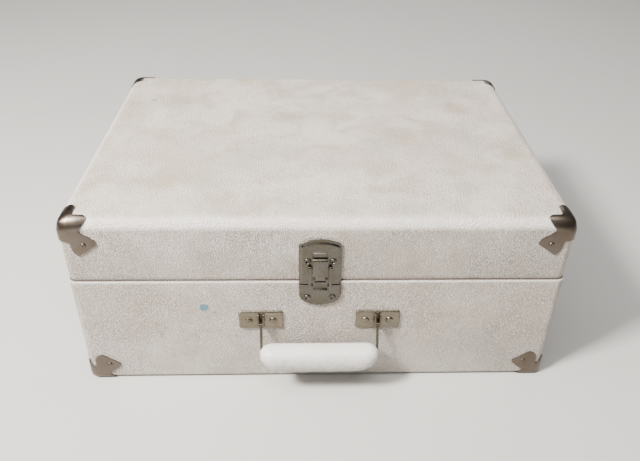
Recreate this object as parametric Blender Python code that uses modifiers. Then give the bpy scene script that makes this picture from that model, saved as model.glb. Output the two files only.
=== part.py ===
"""Water test kit in a carrying case.

A plywood case, covered and lined, opens on two stop hinges and closes with a draw latch. A padded handle
hangs on its front, and a steel protector sits on each corner. A rack inside holds reagent bottles, sample
tubes and a colour comparator. Only the standard Blender modules are needed.

Units are metres. X runs to the right along the front, Y from the front to the back, and Z up. The world
origin is the centre of the kit's footprint, on the surface that it stands on. The pieces are placed from
the middle of the case, which an empty carries to its place.
"""

import math

import bmesh
import bpy
from mathutils import Matrix, Vector

GAP = 0.0003  # between pieces that touch
PAST = 0.010  # how far a cutter passes what it cuts

# Case
CASE_WIDTH = 0.4100
CASE_DEPTH = 0.2994
CASE_TOP = 0.1706
SEAM = 0.1110  # height of the base's rim
SEAM_GAP = 0.0004
LID_INSET = 0.0008  # how far the lid stands back from the base on each side
TOP_EDGE_RADIUS = 0.0113
UPRIGHT_EDGE_RADIUS = 0.0073
BOTTOM_EDGE_RADIUS = 0.0040
SMALLEST_RADIUS = 0.0015
EDGE_SEGMENTS = 3
COVERING = 0.0009
BASE_BOARD = 0.0060
LID_BOARD = 0.0048
BASE_LINING = 0.0012
LID_LINING = 0.0010
LIP_HEIGHT = 0.0050  # of the base's lining above the rim
LID_LINING_START = 0.0070  # height of the lid's lining above the rim
MOUTH_DEPTH = 0.0030  # of the cut that opens a covering inside its rim

# Corner protectors
SHEET = 0.0008
SHEET_GAP = 0.0002
FOOT = SHEET + SHEET_GAP  # height of the case's underside
CORNER_BLOCK = 0.045
OUTSIDE = -0.003  # where a protector's outlines start, clear of the case's corner
SIDE_OUTLINE_SCALE = (0.98, 1.005)  # keeps the side wing's faces off the front wing's
NAIL_RADIUS = 0.0023
NAIL_HEIGHT = 0.0012  # of a nail's head over the sheet
NAIL_SEAT = SHEET_GAP + SHEET / 2  # where a nail's head starts, inside the sheet
LID_NAIL = (0.0192, 0.0236)  # along and up from the case's corner
BASE_NAIL = (0.0196, 0.0170)
WING_DEPTH = 0.0065  # how far the wing along a front or back edge reaches over or under the case
LOBE_DEPTH = 0.0125  # the same for the lobe along a side edge
BASE_WRAP = 0.0023  # how far the base's wings reach round the upright edge
UNDER_TOP = 0.0012  # height to which the part under the base reaches
UNDER_MARGIN = 0.0005  # of that part inside the width of the wings
LID_CORNER_OUTLINE = (
    (OUTSIDE, OUTSIDE), (0.0240, OUTSIDE), (0.0238, 0.0020), (0.0170, 0.0112), (0.0275, 0.0192),
    (0.0295, 0.0232), (0.0140, 0.0342), (0.0108, 0.0305), (0.0084, 0.0200), (OUTSIDE, 0.0200),
)
BASE_CORNER_OUTLINE = (
    (OUTSIDE, OUTSIDE), (0.0220, OUTSIDE), (0.0220, 0.0015), (0.0182, 0.0050), (0.0290, 0.0150),
    (0.0293, 0.0170), (0.0150, 0.0276), (0.0108, 0.0262), (0.0080, 0.0225), (0.0076, 0.0138),
    (0.0046, 0.0146), (0.0026, 0.0178), (0.0018, 0.0212), (OUTSIDE, 0.0212),
)

# Draw latch, on the front. Distances from the front face are outward.
PLATE_HALF_WIDTH = 0.0173
PLATE_FACE = 0.0014
STRIKE_BACK = 0.0004
STRIKE_LOW = 0.1080
STRIKE_SHOULDER = 0.1480
STRIKE_TOP = 0.1526
BACKING_FACE = 0.0008
BACKING_MARGIN = 0.0004
BACKING_LOW = SEAM + 0.0012
PLATES_GAP = 0.0004  # between the latch's plate and the strike
LATCH_LOW = 0.0863
LATCH_SHOULDER = 0.0925
KEEPER_HALF_WIDTH = 0.0056
KEEPER_HEIGHTS = (0.1372, 0.1402)
KEEPER_OUT = (0.0010, 0.0030)
CHEEK_INNER = 0.0071
CHEEK_OUTER = 0.0095
CHEEK_HEIGHTS = (0.1000, 0.1275)
CHEEK_OUT = (0.0018, 0.0048)
CHEEK_FOOT_TOP = 0.1074
CHEEK_FOOT_OUT = (0.0008, 0.0030)
LEVER_PIVOT_HEIGHT = 0.1250
LINK_PIVOT_HEIGHT = 0.1160
PIVOT_OUT = 0.0034
PIVOT_REACH = 0.0120  # half the length of a pivot hole's cutter
LEVER_HALF_WIDTH = 0.0060
LEVER_LOW = 0.1070
LEVER_HIGH = 0.1170
LEVER_OUT = (0.0050, 0.0060)
EAR_INNER = 0.0047
EAR_RADIUS = 0.0014
EAR_FACE = 0.0054  # outward reach of an ear's lower part, inside the lever's face
EAR_STEPS = (0.1178, 0.1168, 0.1105, 0.1080)  # heights of the corners down an ear's outline
LIP = ((0.0052, 0.1068), (0.0066, 0.1060), (0.0072, 0.1066), (0.0060, 0.1082), (0.0052, 0.1082))
LIP_MARGIN = 0.0002  # of the finger lip inside the lever's sides
EYE_RADIUS = 0.0016
STUB_RADIUS = 0.0006
STUB_CLEARANCE = 0.0002
STUB_HEAD = 0.0004  # how far a pin stands out of its cheek
STRAP_HALF_WIDTH = 0.0041
STRAP_LOW = 0.1148
STRAP_OUT = (0.0044, 0.0058)
NOTCH_LOW = 0.1134
NOTCH_OUT = (0.0040, 0.0070)
HOOK_LOW = 0.1191
HOOK_OUT = (0.0049, 0.0059)
OVERLAP = 0.0010  # of two shapes that are joined
HAIR = 0.0001  # keeps the faces of shapes that are joined from lying in one plane
ROLL_HEIGHT = 0.1341
ROLL_OUT = 0.0038
ROLL_RADIUS = 0.0021
STRIKE_RIVETS = (0.0102, 0.1320)
LATCH_RIVETS = (0.0105, 0.0945)

# Handle, on the front
HANDLE_PLATE_X = 0.04975
HANDLE_PLATE_SIZE = (0.0375, 0.0192)
HANDLE_PLATE_HEIGHT = 0.0694
HANDLE_PLATE_FACE = 0.0015
HANDLE_PLATE_CORNER = 0.0018
HANDLE_SCREW_OFFSET = 0.0103
HANDLE_SCREW_HEIGHT = 0.0690
HANDLE_AXIS_HEIGHT = 0.0670
HANDLE_AXIS_OUT = 0.0050
HANDLE_EAR_INNER = 0.0015
HANDLE_EAR_OUTER = 0.0028
HANDLE_EAR_RADIUS = 0.0024
HANDLE_EAR_TOP = 0.0105  # above the axis
HANDLE_EAR_SHOULDER = 0.0095
BAIL_X = 0.0497
BAIL_RADIUS = 0.0012
BAIL_BEND = 0.005
BAIL_PIN_RADIUS = 0.0010
BAIL_PIN_END = 0.0004  # how far the bail's pin stands out of an ear
PIVOTS_REACH = 0.060
GRIP_HEIGHT = 0.0385
GRIP_OUT = 0.0150
GRIP_RADIUS = 0.0128
GRIP_HALF_LENGTH = 0.0517
GRIP_ROUND = 0.015  # length of each rounded end
GRIP_STEPS = 6

# Stop hinges, on the back
HINGE_X = 0.1150
HINGE_HALF_WIDTH = 0.0220
HINGE_MIDDLE = 0.0080  # half the width of the base leaf's knuckle
HINGE_LEAF_HEIGHT = 0.0160
HINGE_SHEET = 0.0012
HINGE_LEAF_GAP = 0.0010  # from the axis's height to a leaf
HINGE_WEB = (0.0012, 0.0024)  # the sheet from a leaf to its knuckle, from the axis's height
KNUCKLE_GAP = 0.0004
HINGE_AXIS_OUT = 0.0042
KNUCKLE_RADIUS = 0.0028
HINGE_PIN_RADIUS = 0.0012
HINGE_PIN_CLEARANCE = 0.0002
HINGE_PIN_END = 0.0006

# Fasteners
SHANK_RADIUS = 0.0010
SHANK_HOLE = 0.0014
SHANK_DEPTH = 0.0040  # below the case's face
SHANK_POINT = 0.0008
SHANK_HOLE_DEPTHS = (-0.0061, 0.0094)  # outward from the front face
RIVET_HEAD = (0.0028, 0.0010)  # radius and height
RIVET_DIMPLE = (0.0014, 0.0007)  # radius and depth
SCREW_HEAD = (0.0030, 0.0011)
SCREW_DIMPLE = (0.0012, 0.0006)

# Rack and what it holds
DECK_TOP = 0.0620
DECK_THICKNESS = 0.0060
DECK_MARGIN = 0.0005
DECK_RIGHT = 0.0240  # where the deck ends against the divider
DECK_JOINT_Y = 0.0450  # between the deck's front and back boards
CLEAT_WIDTH = 0.0110
DIVIDER_TOP = 0.0850
DIVIDER_THICKNESS = 0.0060
WELL_CLEARANCE = 0.0007
BOTTLE_X = (-0.160, -0.110, -0.060, -0.010)
BOTTLE_Y = 0.080
BOTTLE_RADIUS = 0.0200
BOTTLE_SHOULDER = 0.0620
BOTTLE_NECK_RADIUS = 0.0098
BOTTLE_NECK_LOW = 0.0735
BOTTLE_HEIGHT = 0.0850
BOTTLE_SLOPE = 0.0035  # of the shoulder's edge
BOTTLE_FOOT = 0.0020
NECK_FLARE = 0.0012
CAP_LOW = 0.0745
CAP_TOP = 0.0890
CAP_RADIUS = 0.0135
CAP_BORE = 0.0104
CAP_AXIS_HEIGHT = 0.0750
TUBE_X = (-0.040, -0.005)
TUBE_Y = -0.070
TUBE_RADIUS = 0.0090
TUBE_WALL = 0.0012
TUBE_LENGTH = 0.0900
TUBE_ROUND = 0.0050  # height of the tube's rounded foot
TUBE_PLUG = 0.0110
STOPPER_HEIGHT = 0.0080
CHAMFER = 0.0008
COMPARATOR_CENTRE = (-0.120, -0.070)
COMPARATOR_SIZE = (0.100, 0.044, 0.092)
COMPARATOR_ROUND = 0.003
COMPARATOR_WELL = (0.0055, 0.0080, 0.0010)  # clearance at its sides, front and back
SOCKET_X = (0.006, 0.032)  # from the comparator's middle
SOCKET_HALF_WIDTH = 0.0094
SOCKET_FLOOR = 0.012  # above the comparator's foot
APERTURE_RADIUS = 0.0052
DISC_X = -0.020
DISC_HEIGHT = 0.052  # above the comparator's foot
DISC_RADIUS = 0.0340
DISC_THICKNESS = 0.0030
DISC_BORE = 0.0024
DISC_WINDOWS = 9
WINDOW_RING = 0.026
WINDOW_RADIUS = 0.0042
HUB_RADIUS = 0.0060
HUB_HEIGHT = 0.0024
HUB_SHAFT_RADIUS = 0.0020
HUB_SHAFT_LENGTH = 0.0118
HUB_BORE = (0.0023, 0.0086)  # radius and depth in the comparator's body
CARD_SIZE = (0.260, 0.180, 0.001)

FRONT = -CASE_DEPTH / 2
BACK = CASE_DEPTH / 2
FLOOR = FOOT + COVERING + GAP + BASE_BOARD + GAP + BASE_LINING  # top of the base's lining
STAND = FLOOR + GAP  # where the contents stand
LID_LOW = SEAM + SEAM_GAP
LID_CEILING = CASE_TOP - COVERING - GAP - LID_BOARD - GAP - LID_LINING
HINGE_HEIGHT = SEAM + SEAM_GAP / 2
FRONT_REACH = GRIP_OUT + GRIP_RADIUS
BACK_REACH = HINGE_AXIS_OUT + KNUCKLE_RADIUS
CASE_Y = (FRONT_REACH - BACK_REACH) / 2

for old in list(bpy.data.objects):
    bpy.data.objects.remove(old, do_unlink=True)

scene_collection = bpy.context.scene.collection
parts = bpy.data.collections.new("water_test_kit")
cutters = bpy.data.collections.new("cutters")
scene_collection.children.link(parts)
scene_collection.children.link(cutters)
cutters.hide_render = True


def make_empty(name, location, parent=None):
    """An empty at a place given from the middle of the case."""
    empty = bpy.data.objects.new(name, None)
    parts.objects.link(empty)
    empty.location = Vector(location)
    if parent:
        empty.parent = parent
        empty.location -= place_in_case(parent)
    return empty


def place_in_case(empty):
    """Where an empty is, from the middle of the case."""
    place = Vector((0, 0, 0))
    while empty and empty is not case_frame:
        place += empty.location
        empty = empty.parent
    return place


case_frame = bpy.data.objects.new("case_frame", None)
case_frame.location = (0, CASE_Y, 0)
parts.objects.link(case_frame)


def make_material(name, colour, roughness, metallic=0.0, transmission=0.0):
    material = bpy.data.materials.new(name)
    material.use_nodes = True
    shader = material.node_tree.nodes["Principled BSDF"]
    shader.inputs["Base Color"].default_value = (*colour, 1)
    shader.inputs["Roughness"].default_value = roughness
    shader.inputs["Metallic"].default_value = metallic
    shader.inputs["Transmission Weight"].default_value = transmission
    return material


def add_object(name, mesh, material=None, parent=None, location=(0, 0, 0)):
    """Links a mesh. With no material it is a helper that cuts or joins, and isn't a piece of the kit."""
    obj = bpy.data.objects.new(name, mesh)
    parent = parent or case_frame
    obj.parent = parent
    obj.location = Vector(location) - place_in_case(parent)
    if material:
        mesh.materials.clear()
        mesh.materials.append(material(name))
        parts.objects.link(obj)
    else:
        obj.display_type = "WIRE"
        obj.hide_render = True
        cutters.objects.link(obj)
    return obj


def finish(*recipe):
    """A maker of one material for each piece, from a colour, roughness, metallic value and transmission."""
    return lambda name: make_material(name, *recipe)


vinyl = finish((0.70, 0.66, 0.61), 0.55)
plywood = finish((0.55, 0.40, 0.25), 0.60)
lining_paper = finish((0.42, 0.47, 0.52), 0.80)
nickel = finish((0.52, 0.49, 0.43), 0.32, 1.0)
steel = finish((0.60, 0.59, 0.56), 0.30, 1.0)
grip_vinyl = finish((0.80, 0.79, 0.77), 0.45)
bottle_glass = finish((0.35, 0.16, 0.05), 0.10, 0.0, 0.6)
tube_glass = finish((0.90, 0.93, 0.92), 0.05, 0.0, 0.9)
cap_plastic = finish((0.03, 0.03, 0.03), 0.35)
rubber = finish((0.45, 0.12, 0.08), 0.70)
bakelite = finish((0.05, 0.04, 0.035), 0.30)
white_plastic = finish((0.80, 0.80, 0.78), 0.35)
card = finish((0.85, 0.83, 0.76), 0.80)


def boolean(obj, other, operation="DIFFERENCE"):
    modifier = obj.modifiers.new(f"{operation.lower()} {other.name}", "BOOLEAN")
    modifier.operation = operation
    modifier.object = other


def cut(obj, *others):
    for other in others:
        boolean(obj, other)


def join(obj, *others):
    for other in others:
        boolean(obj, other, "UNION")


def mesh_of(name, bm):
    bmesh.ops.recalc_face_normals(bm, faces=bm.faces)
    mesh = bpy.data.meshes.new(name)
    bm.to_mesh(mesh)
    bm.free()
    return mesh


def block(name, low, high, material=None, parent=None, bevel=0.0, segments=2):
    """A box between two corners, its own origin at its centre, with all its edges rounded by bevel."""
    low, high = Vector(low), Vector(high)
    bm = bmesh.new()
    bmesh.ops.create_cube(bm, size=1)
    bmesh.ops.scale(bm, vec=high - low, verts=bm.verts)
    obj = add_object(name, mesh_of(name, bm), material, parent, (low + high) / 2)
    if bevel:
        rounding = obj.modifiers.new("rounding", "BEVEL")
        rounding.width = bevel
        rounding.segments = segments
    return obj


def rod(name, radius, start, end, material=None, parent=None, sides=16):
    """A cylinder from start to end, with a corner of its outline on each main direction."""
    start, end = Vector(start), Vector(end)
    bm = bmesh.new()
    bmesh.ops.create_cone(bm, cap_ends=True, segments=sides, depth=(end - start).length, radius1=radius,
                          radius2=radius)
    turn = (end - start).to_track_quat("Z", "Y").to_matrix()
    bmesh.ops.rotate(bm, matrix=turn, verts=bm.verts)
    obj = add_object(name, mesh_of(name, bm), material, parent, (start + end) / 2)
    smooth(obj)
    return obj


def smooth(obj):
    obj.data.shade_smooth()
    obj.data.set_sharp_from_angle(angle=math.radians(40))


def turned(name, profile, centre, material=None, parent=None, steps=24, along=None):
    """A turned piece. The profile is (radius, height) pairs that run down its outer side."""
    mesh = bpy.data.meshes.new(name)
    mesh.from_pydata([(r, 0, h) for r, h in profile], [(i, i + 1) for i in range(len(profile) - 1)], [])
    obj = add_object(name, mesh, material, parent, centre)
    screw = obj.modifiers.new("turn", "SCREW")
    screw.steps = screw.render_steps = steps
    screw.use_merge_vertices = True
    screw.merge_threshold = 0.00001
    screw.use_smooth_shade = True
    if along:
        obj.rotation_euler = Vector(along).to_track_quat("Z", "Y").to_euler()
    return obj


def baked(obj):
    """The mesh that an object's modifiers or curve settings give, with its loose caps joined."""
    graph = bpy.context.evaluated_depsgraph_get()
    mesh = bpy.data.meshes.new_from_object(obj.evaluated_get(graph))
    bm = bmesh.new()
    bm.from_mesh(mesh)
    bmesh.ops.remove_doubles(bm, verts=bm.verts, dist=0.000001)
    bmesh.ops.recalc_face_normals(bm, faces=bm.faces)
    bm.to_mesh(mesh)
    bm.free()
    return mesh


def plate(name, outline, near, far, axis, material=None, parent=None):
    """A flat piece cut to an outline. Axis is the direction that near and far are measured along: on Y the
    outline is (x, z), on X it is (y, z), and on Z it is (x, y)."""
    curve = bpy.data.curves.new(name, "CURVE")
    curve.dimensions = "2D"
    curve.fill_mode = "BOTH"
    curve.extrude = abs(far - near) / 2
    spline = curve.splines.new("POLY")
    spline.points.add(len(outline) - 1)
    for point, (u, v) in zip(spline.points, outline):
        point.co = (u, v, 0, 1)
    spline.use_cyclic_u = True
    flat = bpy.data.objects.new(name, curve)
    scene_collection.objects.link(flat)
    bpy.context.view_layer.update()
    mesh = baked(flat)
    bpy.data.objects.remove(flat, do_unlink=True)
    bpy.data.curves.remove(curve)
    middle = (near + far) / 2
    if axis == "Y":
        mesh.transform(Matrix(((1, 0, 0, 0), (0, 0, -1, middle), (0, 1, 0, 0), (0, 0, 0, 1))))
    elif axis == "X":
        mesh.transform(Matrix(((0, 0, 1, middle), (1, 0, 0, 0), (0, 1, 0, 0), (0, 0, 0, 1))))
    else:
        mesh.transform(Matrix.Translation((0, 0, middle)))
    return add_object(name, mesh, material, parent)


def arc(centre, radius, start, end, steps):
    """Points on a circle between two angles in degrees."""
    angles = [math.radians(start + (end - start) * i / steps) for i in range(steps + 1)]
    return [(centre[0] + radius * math.cos(a), centre[1] + radius * math.sin(a)) for a in angles]


def rounded_outline(points, radius, steps=3):
    """An outline with its corners rounded."""
    outline = []
    for i, point in enumerate(points):
        corner = Vector(point)
        before = Vector(points[i - 1]) - corner
        after = Vector(points[(i + 1) % len(points)]) - corner
        half = before.angle(after) / 2
        back = min(radius / math.tan(half), before.length * 0.45, after.length * 0.45)
        start = corner + before.normalized() * back
        end = corner + after.normalized() * back
        for step in range(steps + 1):
            t = step / steps
            outline.append(tuple(start * (1 - t) ** 2 + corner * 2 * t * (1 - t) + end * t**2))
    return outline


def case_block(name, inset, low, high, top=0.0, bottom=0.0, material=None, parent=None):
    """A block in the case's plan, inset from the base's outer faces. Its upright edges keep the case's
    rounding less the inset, and top and bottom are the radii of its level edges."""
    upright = max(UPRIGHT_EDGE_RADIUS - inset, SMALLEST_RADIUS)
    widest = max(upright, top, bottom)
    size = Vector((CASE_WIDTH - 2 * inset, CASE_DEPTH - 2 * inset, high - low))
    bm = bmesh.new()
    bmesh.ops.create_cube(bm, size=1)
    bmesh.ops.scale(bm, vec=size, verts=bm.verts)
    weight = bm.edges.layers.float.new("bevel_weight_edge")
    for edge in bm.edges:
        first, second = (v.co.z for v in edge.verts)
        radius = upright if first * second < 0 else top if first > 0 else bottom
        edge[weight] = radius / widest
    obj = add_object(name, mesh_of(name, bm), material, parent, (0, 0, (low + high) / 2))
    rounding = obj.modifiers.new("rounding", "BEVEL")
    rounding.limit_method = "WEIGHT"
    rounding.width = widest
    rounding.segments = EDGE_SEGMENTS
    return obj


def build_base():
    outer = case_block("base_covering", 0, FOOT, SEAM, 0, BOTTOM_EDGE_RADIUS, vinyl)
    board_inset = COVERING + GAP
    inner_inset = board_inset + BASE_BOARD
    lining_inset = inner_inset + GAP
    above = SEAM + PAST
    cut(
        outer,
        case_block("covering_hollow", COVERING, FOOT + COVERING, SEAM - COVERING, 0,
                   BOTTOM_EDGE_RADIUS - COVERING),
        case_block("covering_mouth", inner_inset, SEAM - MOUTH_DEPTH, above),
    )
    board_low = FOOT + COVERING + GAP
    board = case_block("base_board", board_inset, board_low, SEAM - COVERING - GAP, 0,
                       BOTTOM_EDGE_RADIUS - board_inset, plywood)
    cut(board, case_block("board_hollow", inner_inset, board_low + BASE_BOARD, above))
    lining = case_block("base_lining", lining_inset, FLOOR - BASE_LINING, SEAM + LIP_HEIGHT, 0, 0,
                        lining_paper)
    cut(lining, case_block("lining_hollow", lining_inset + BASE_LINING, FLOOR, above))
    return outer, board


def build_lid(axis):
    outer = case_block("lid_covering", LID_INSET, LID_LOW, CASE_TOP, TOP_EDGE_RADIUS, 0, vinyl, axis)
    board_inset = LID_INSET + COVERING + GAP
    inner_inset = board_inset + LID_BOARD
    lining_inset = inner_inset + GAP
    below = LID_LOW - PAST
    board_radius = TOP_EDGE_RADIUS - COVERING - GAP
    cut(
        outer,
        case_block("lid_covering_hollow", LID_INSET + COVERING, LID_LOW + COVERING, CASE_TOP - COVERING,
                   TOP_EDGE_RADIUS - COVERING, parent=axis),
        case_block("lid_covering_mouth", inner_inset, below, LID_LOW + MOUTH_DEPTH, parent=axis),
    )
    board_top = CASE_TOP - COVERING - GAP
    board = case_block("lid_board", board_inset, LID_LOW + COVERING + GAP, board_top, board_radius, 0,
                       plywood, axis)
    cut(board, case_block("lid_board_hollow", inner_inset, below, board_top - LID_BOARD, parent=axis))
    lining = case_block("lid_lining", lining_inset, SEAM + LID_LINING_START, LID_CEILING + LID_LINING,
                        0, 0, lining_paper, axis)
    cut(lining, case_block("lid_lining_hollow", lining_inset + LID_LINING, below, LID_CEILING, parent=axis))
    half_x, half_y = CARD_SIZE[0] / 2, CARD_SIZE[1] / 2
    block("chart_card", (-half_x, -half_y, LID_CEILING - GAP - CARD_SIZE[2]),
          (half_x, half_y, LID_CEILING - GAP), card, axis)
    return outer, board


def corner_block(name, stand_off, level_radius, inset):
    """One corner of the case as a solid, inward along +X, +Y and +Z, standing off from its faces."""
    size = CORNER_BLOCK + stand_off
    level = level_radius + stand_off
    upright = UPRIGHT_EDGE_RADIUS - inset + stand_off
    bm = bmesh.new()
    bmesh.ops.create_cube(bm, size=size)
    bmesh.ops.translate(bm, vec=Vector((1, 1, 1)) * (size / 2 - stand_off), verts=bm.verts)
    weight = bm.edges.layers.float.new("bevel_weight_edge")
    for edge in bm.edges:
        low = [all(v.co[i] < 0 for v in edge.verts) for i in range(3)]
        if sum(low) == 2:
            edge[weight] = (level if low[2] else upright) / max(level, upright)
    obj = add_object(name, mesh_of(name, bm))
    rounding = obj.modifiers.new("rounding", "BEVEL")
    rounding.limit_method = "WEIGHT"
    rounding.width = max(level, upright)
    rounding.segments = EDGE_SEGMENTS
    return obj


def corner_pattern(name, outline, depths, nail, level_radius, inset):
    """A corner protector, inward along +X, +Y and +Z from the case's corner: its sheet and the head of the
    nail in each wing. The depths are those of the front wing and the side wing."""
    sheet = corner_block(name, FOOT, level_radius, inset)
    mask = plate(f"{name}_front", outline, OUTSIDE, depths[0], "Y")
    along, up = SIDE_OUTLINE_SCALE
    side_outline = [(u * along, v * up) for u, v in outline]
    join(mask, plate(f"{name}_side", side_outline, OUTSIDE - HAIR, depths[1], "X"))
    if depths[1] < LOBE_DEPTH:
        reach = outline[1][0] - UNDER_MARGIN
        level = [(OUTSIDE, OUTSIDE), (reach, OUTSIDE), (reach, WING_DEPTH), (LOBE_DEPTH, WING_DEPTH),
                 (LOBE_DEPTH, reach), (OUTSIDE, reach)]
        join(mask, plate(f"{name}_under", level, OUTSIDE - HAIR, UNDER_TOP, "Z"))
    boolean(sheet, mask, "INTERSECT")
    cut(sheet, corner_block(f"{name}_core", SHEET_GAP, level_radius, inset))
    u, v = nail
    top = FOOT + NAIL_HEIGHT
    nails = rod(f"{name}_nails", NAIL_RADIUS, (u, -NAIL_SEAT, v), (u, -top, v), sides=12)
    join(nails, rod(f"{name}_side_nail", NAIL_RADIUS, (-NAIL_SEAT, u * along, v), (-top, u * along, v),
                    sides=12))
    sheet.modifiers.new("triangles", "TRIANGULATE")
    join(sheet, nails)
    bpy.context.view_layer.update()
    return baked(sheet)


def build_corners(lid_axis):
    halves = (
        ("lid", LID_CORNER_OUTLINE, (WING_DEPTH, LOBE_DEPTH), LID_NAIL, TOP_EDGE_RADIUS, CASE_TOP,
         LID_INSET, -1),
        ("base", BASE_CORNER_OUTLINE, (BASE_WRAP, BASE_WRAP), BASE_NAIL, BOTTOM_EDGE_RADIUS, FOOT, 0, 1),
    )
    for half, outline, depths, nail, radius, height, inset, upward in halves:
        pattern = corner_pattern(f"{half}_corner", outline, depths, nail, radius, inset)
        for y_name, y_sign in (("front", -1), ("back", 1)):
            for x_name, x_sign in (("left", -1), ("right", 1)):
                mesh = pattern.copy()
                mesh.transform(Matrix.Diagonal((-x_sign, -y_sign, upward, 1)))
                if x_sign * y_sign * upward < 0:
                    mesh.flip_normals()
                place = (x_sign * (CASE_WIDTH / 2 - inset), y_sign * (CASE_DEPTH / 2 - inset), height)
                parent = lid_axis if half == "lid" else None
                smooth(add_object(f"corner_{half}_{y_name}_{x_name}", mesh, nickel, parent, place))


def front_plate(name, outline, near, far, material=None, parent=None):
    """A plate on the front face, from near to far outward."""
    return plate(name, outline, FRONT - far, FRONT - near, "Y", material, parent)


def front_block(name, half_width, heights, outward, material=None, parent=None, x=0.0):
    return block(name, (x - half_width, FRONT - outward[1], heights[0]),
                 (x + half_width, FRONT - outward[0], heights[1]), material, parent)


def fastener(name, place, seat, parent, head, dimple, case_face):
    """A rivet or a screw in the front, at an x and a height: a domed head on its seat, with a dimple, and a
    shank into the case."""
    radius, thickness = head
    dimple_radius, dimple_depth = dimple
    top = seat + thickness
    end = case_face - SHANK_DEPTH
    profile = [
        (0, top - dimple_depth), (dimple_radius * 0.7, top - dimple_depth),
        (dimple_radius, top - dimple_depth * 0.3), (dimple_radius * 1.3, top),
        (radius * 0.8, top - thickness * 0.25), (radius, seat + thickness * 0.25), (radius, seat),
        (SHANK_RADIUS, seat), (SHANK_RADIUS, end), (0, end - SHANK_POINT),
    ]
    return turned(name, profile, (place[0], FRONT, place[1]), nickel, parent, 12, (0, -1, 0))


def shank_holes(name, places, parent=None):
    """One cutter for the holes of several shanks, each place an x and a height."""
    inner, outer = SHANK_HOLE_DEPTHS
    turn = Matrix.Rotation(math.pi / 2, 3, "X")
    bm = bmesh.new()
    for x, height in places:
        found = bmesh.ops.create_cone(bm, cap_ends=True, segments=8, radius1=SHANK_HOLE,
                                      radius2=SHANK_HOLE, depth=outer - inner)
        bmesh.ops.rotate(bm, matrix=turn, verts=found["verts"])
        bmesh.ops.translate(bm, vec=(x, FRONT - (inner + outer) / 2, height), verts=found["verts"])
    return add_object(name, mesh_of(name, bm), None, parent)


def arched(half_width, flat, shoulder, peak):
    """An outline with a flat side and, opposite it, an arch from its shoulders to its peak."""
    rise = abs(peak - shoulder)
    radius = (half_width**2 + rise**2) / (2 * rise)
    spread = math.degrees(math.asin(half_width / radius))
    up = 1 if peak > shoulder else -1
    centre = (0, peak - up * radius)
    arch = arc(centre, radius, up * (90 - spread), up * (90 + spread), 10)
    return arch + [(-half_width, flat), (half_width, flat)]


def pivot_line(height, reach):
    """The two ends of a line across the latch, at the height of one of its pivots."""
    return (-reach, FRONT - PIVOT_OUT, height), (reach, FRONT - PIVOT_OUT, height)


def build_strike(lid_axis):
    outline = arched(PLATE_HALF_WIDTH, STRIKE_LOW, STRIKE_SHOULDER, STRIKE_TOP)
    strike = front_plate("latch_strike", outline, STRIKE_BACK, PLATE_FACE, nickel, lid_axis)
    inner = arched(PLATE_HALF_WIDTH - BACKING_MARGIN, BACKING_LOW, STRIKE_SHOULDER - BACKING_MARGIN / 2,
                   STRIKE_TOP - BACKING_MARGIN)
    backing = front_plate("strike_backing", inner, GAP - LID_INSET, BACKING_FACE, None, lid_axis)
    keeper = front_block("strike_keeper", KEEPER_HALF_WIDTH, KEEPER_HEIGHTS, KEEPER_OUT, None, lid_axis)
    join(strike, backing, keeper)
    return strike


def build_latch_plate(hole):
    """The plate on the base, with the two cheeks that carry the lever's pins."""
    outline = arched(PLATE_HALF_WIDTH, STRIKE_LOW - PLATES_GAP, LATCH_SHOULDER, LATCH_LOW)
    body = front_plate("latch_plate", outline, GAP, PLATE_FACE, nickel)
    half = (CHEEK_OUTER - CHEEK_INNER) / 2
    for name, side in (("left", -1), ("right", 1)):
        x = side * (CHEEK_INNER + CHEEK_OUTER) / 2
        foot_heights = (CHEEK_HEIGHTS[0], CHEEK_FOOT_TOP)
        foot = front_block(f"cheek_foot_{name}", half, foot_heights, CHEEK_FOOT_OUT, x=x)
        join(body, foot, front_block(f"cheek_{name}", half, CHEEK_HEIGHTS, CHEEK_OUT, x=x))
        inner = (side * (EAR_INNER + HAIR), FRONT - PIVOT_OUT, LEVER_PIVOT_HEIGHT)
        outer = (side * (CHEEK_OUTER + STUB_HEAD), FRONT - PIVOT_OUT, LEVER_PIVOT_HEIGHT)
        rod(f"lever_pin_{name}", STUB_RADIUS, inner, outer, steel, None, 10)
    cut(body, rod("cheek_holes", hole, *pivot_line(LEVER_PIVOT_HEIGHT, PIVOT_REACH), sides=10))
    return body


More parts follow.
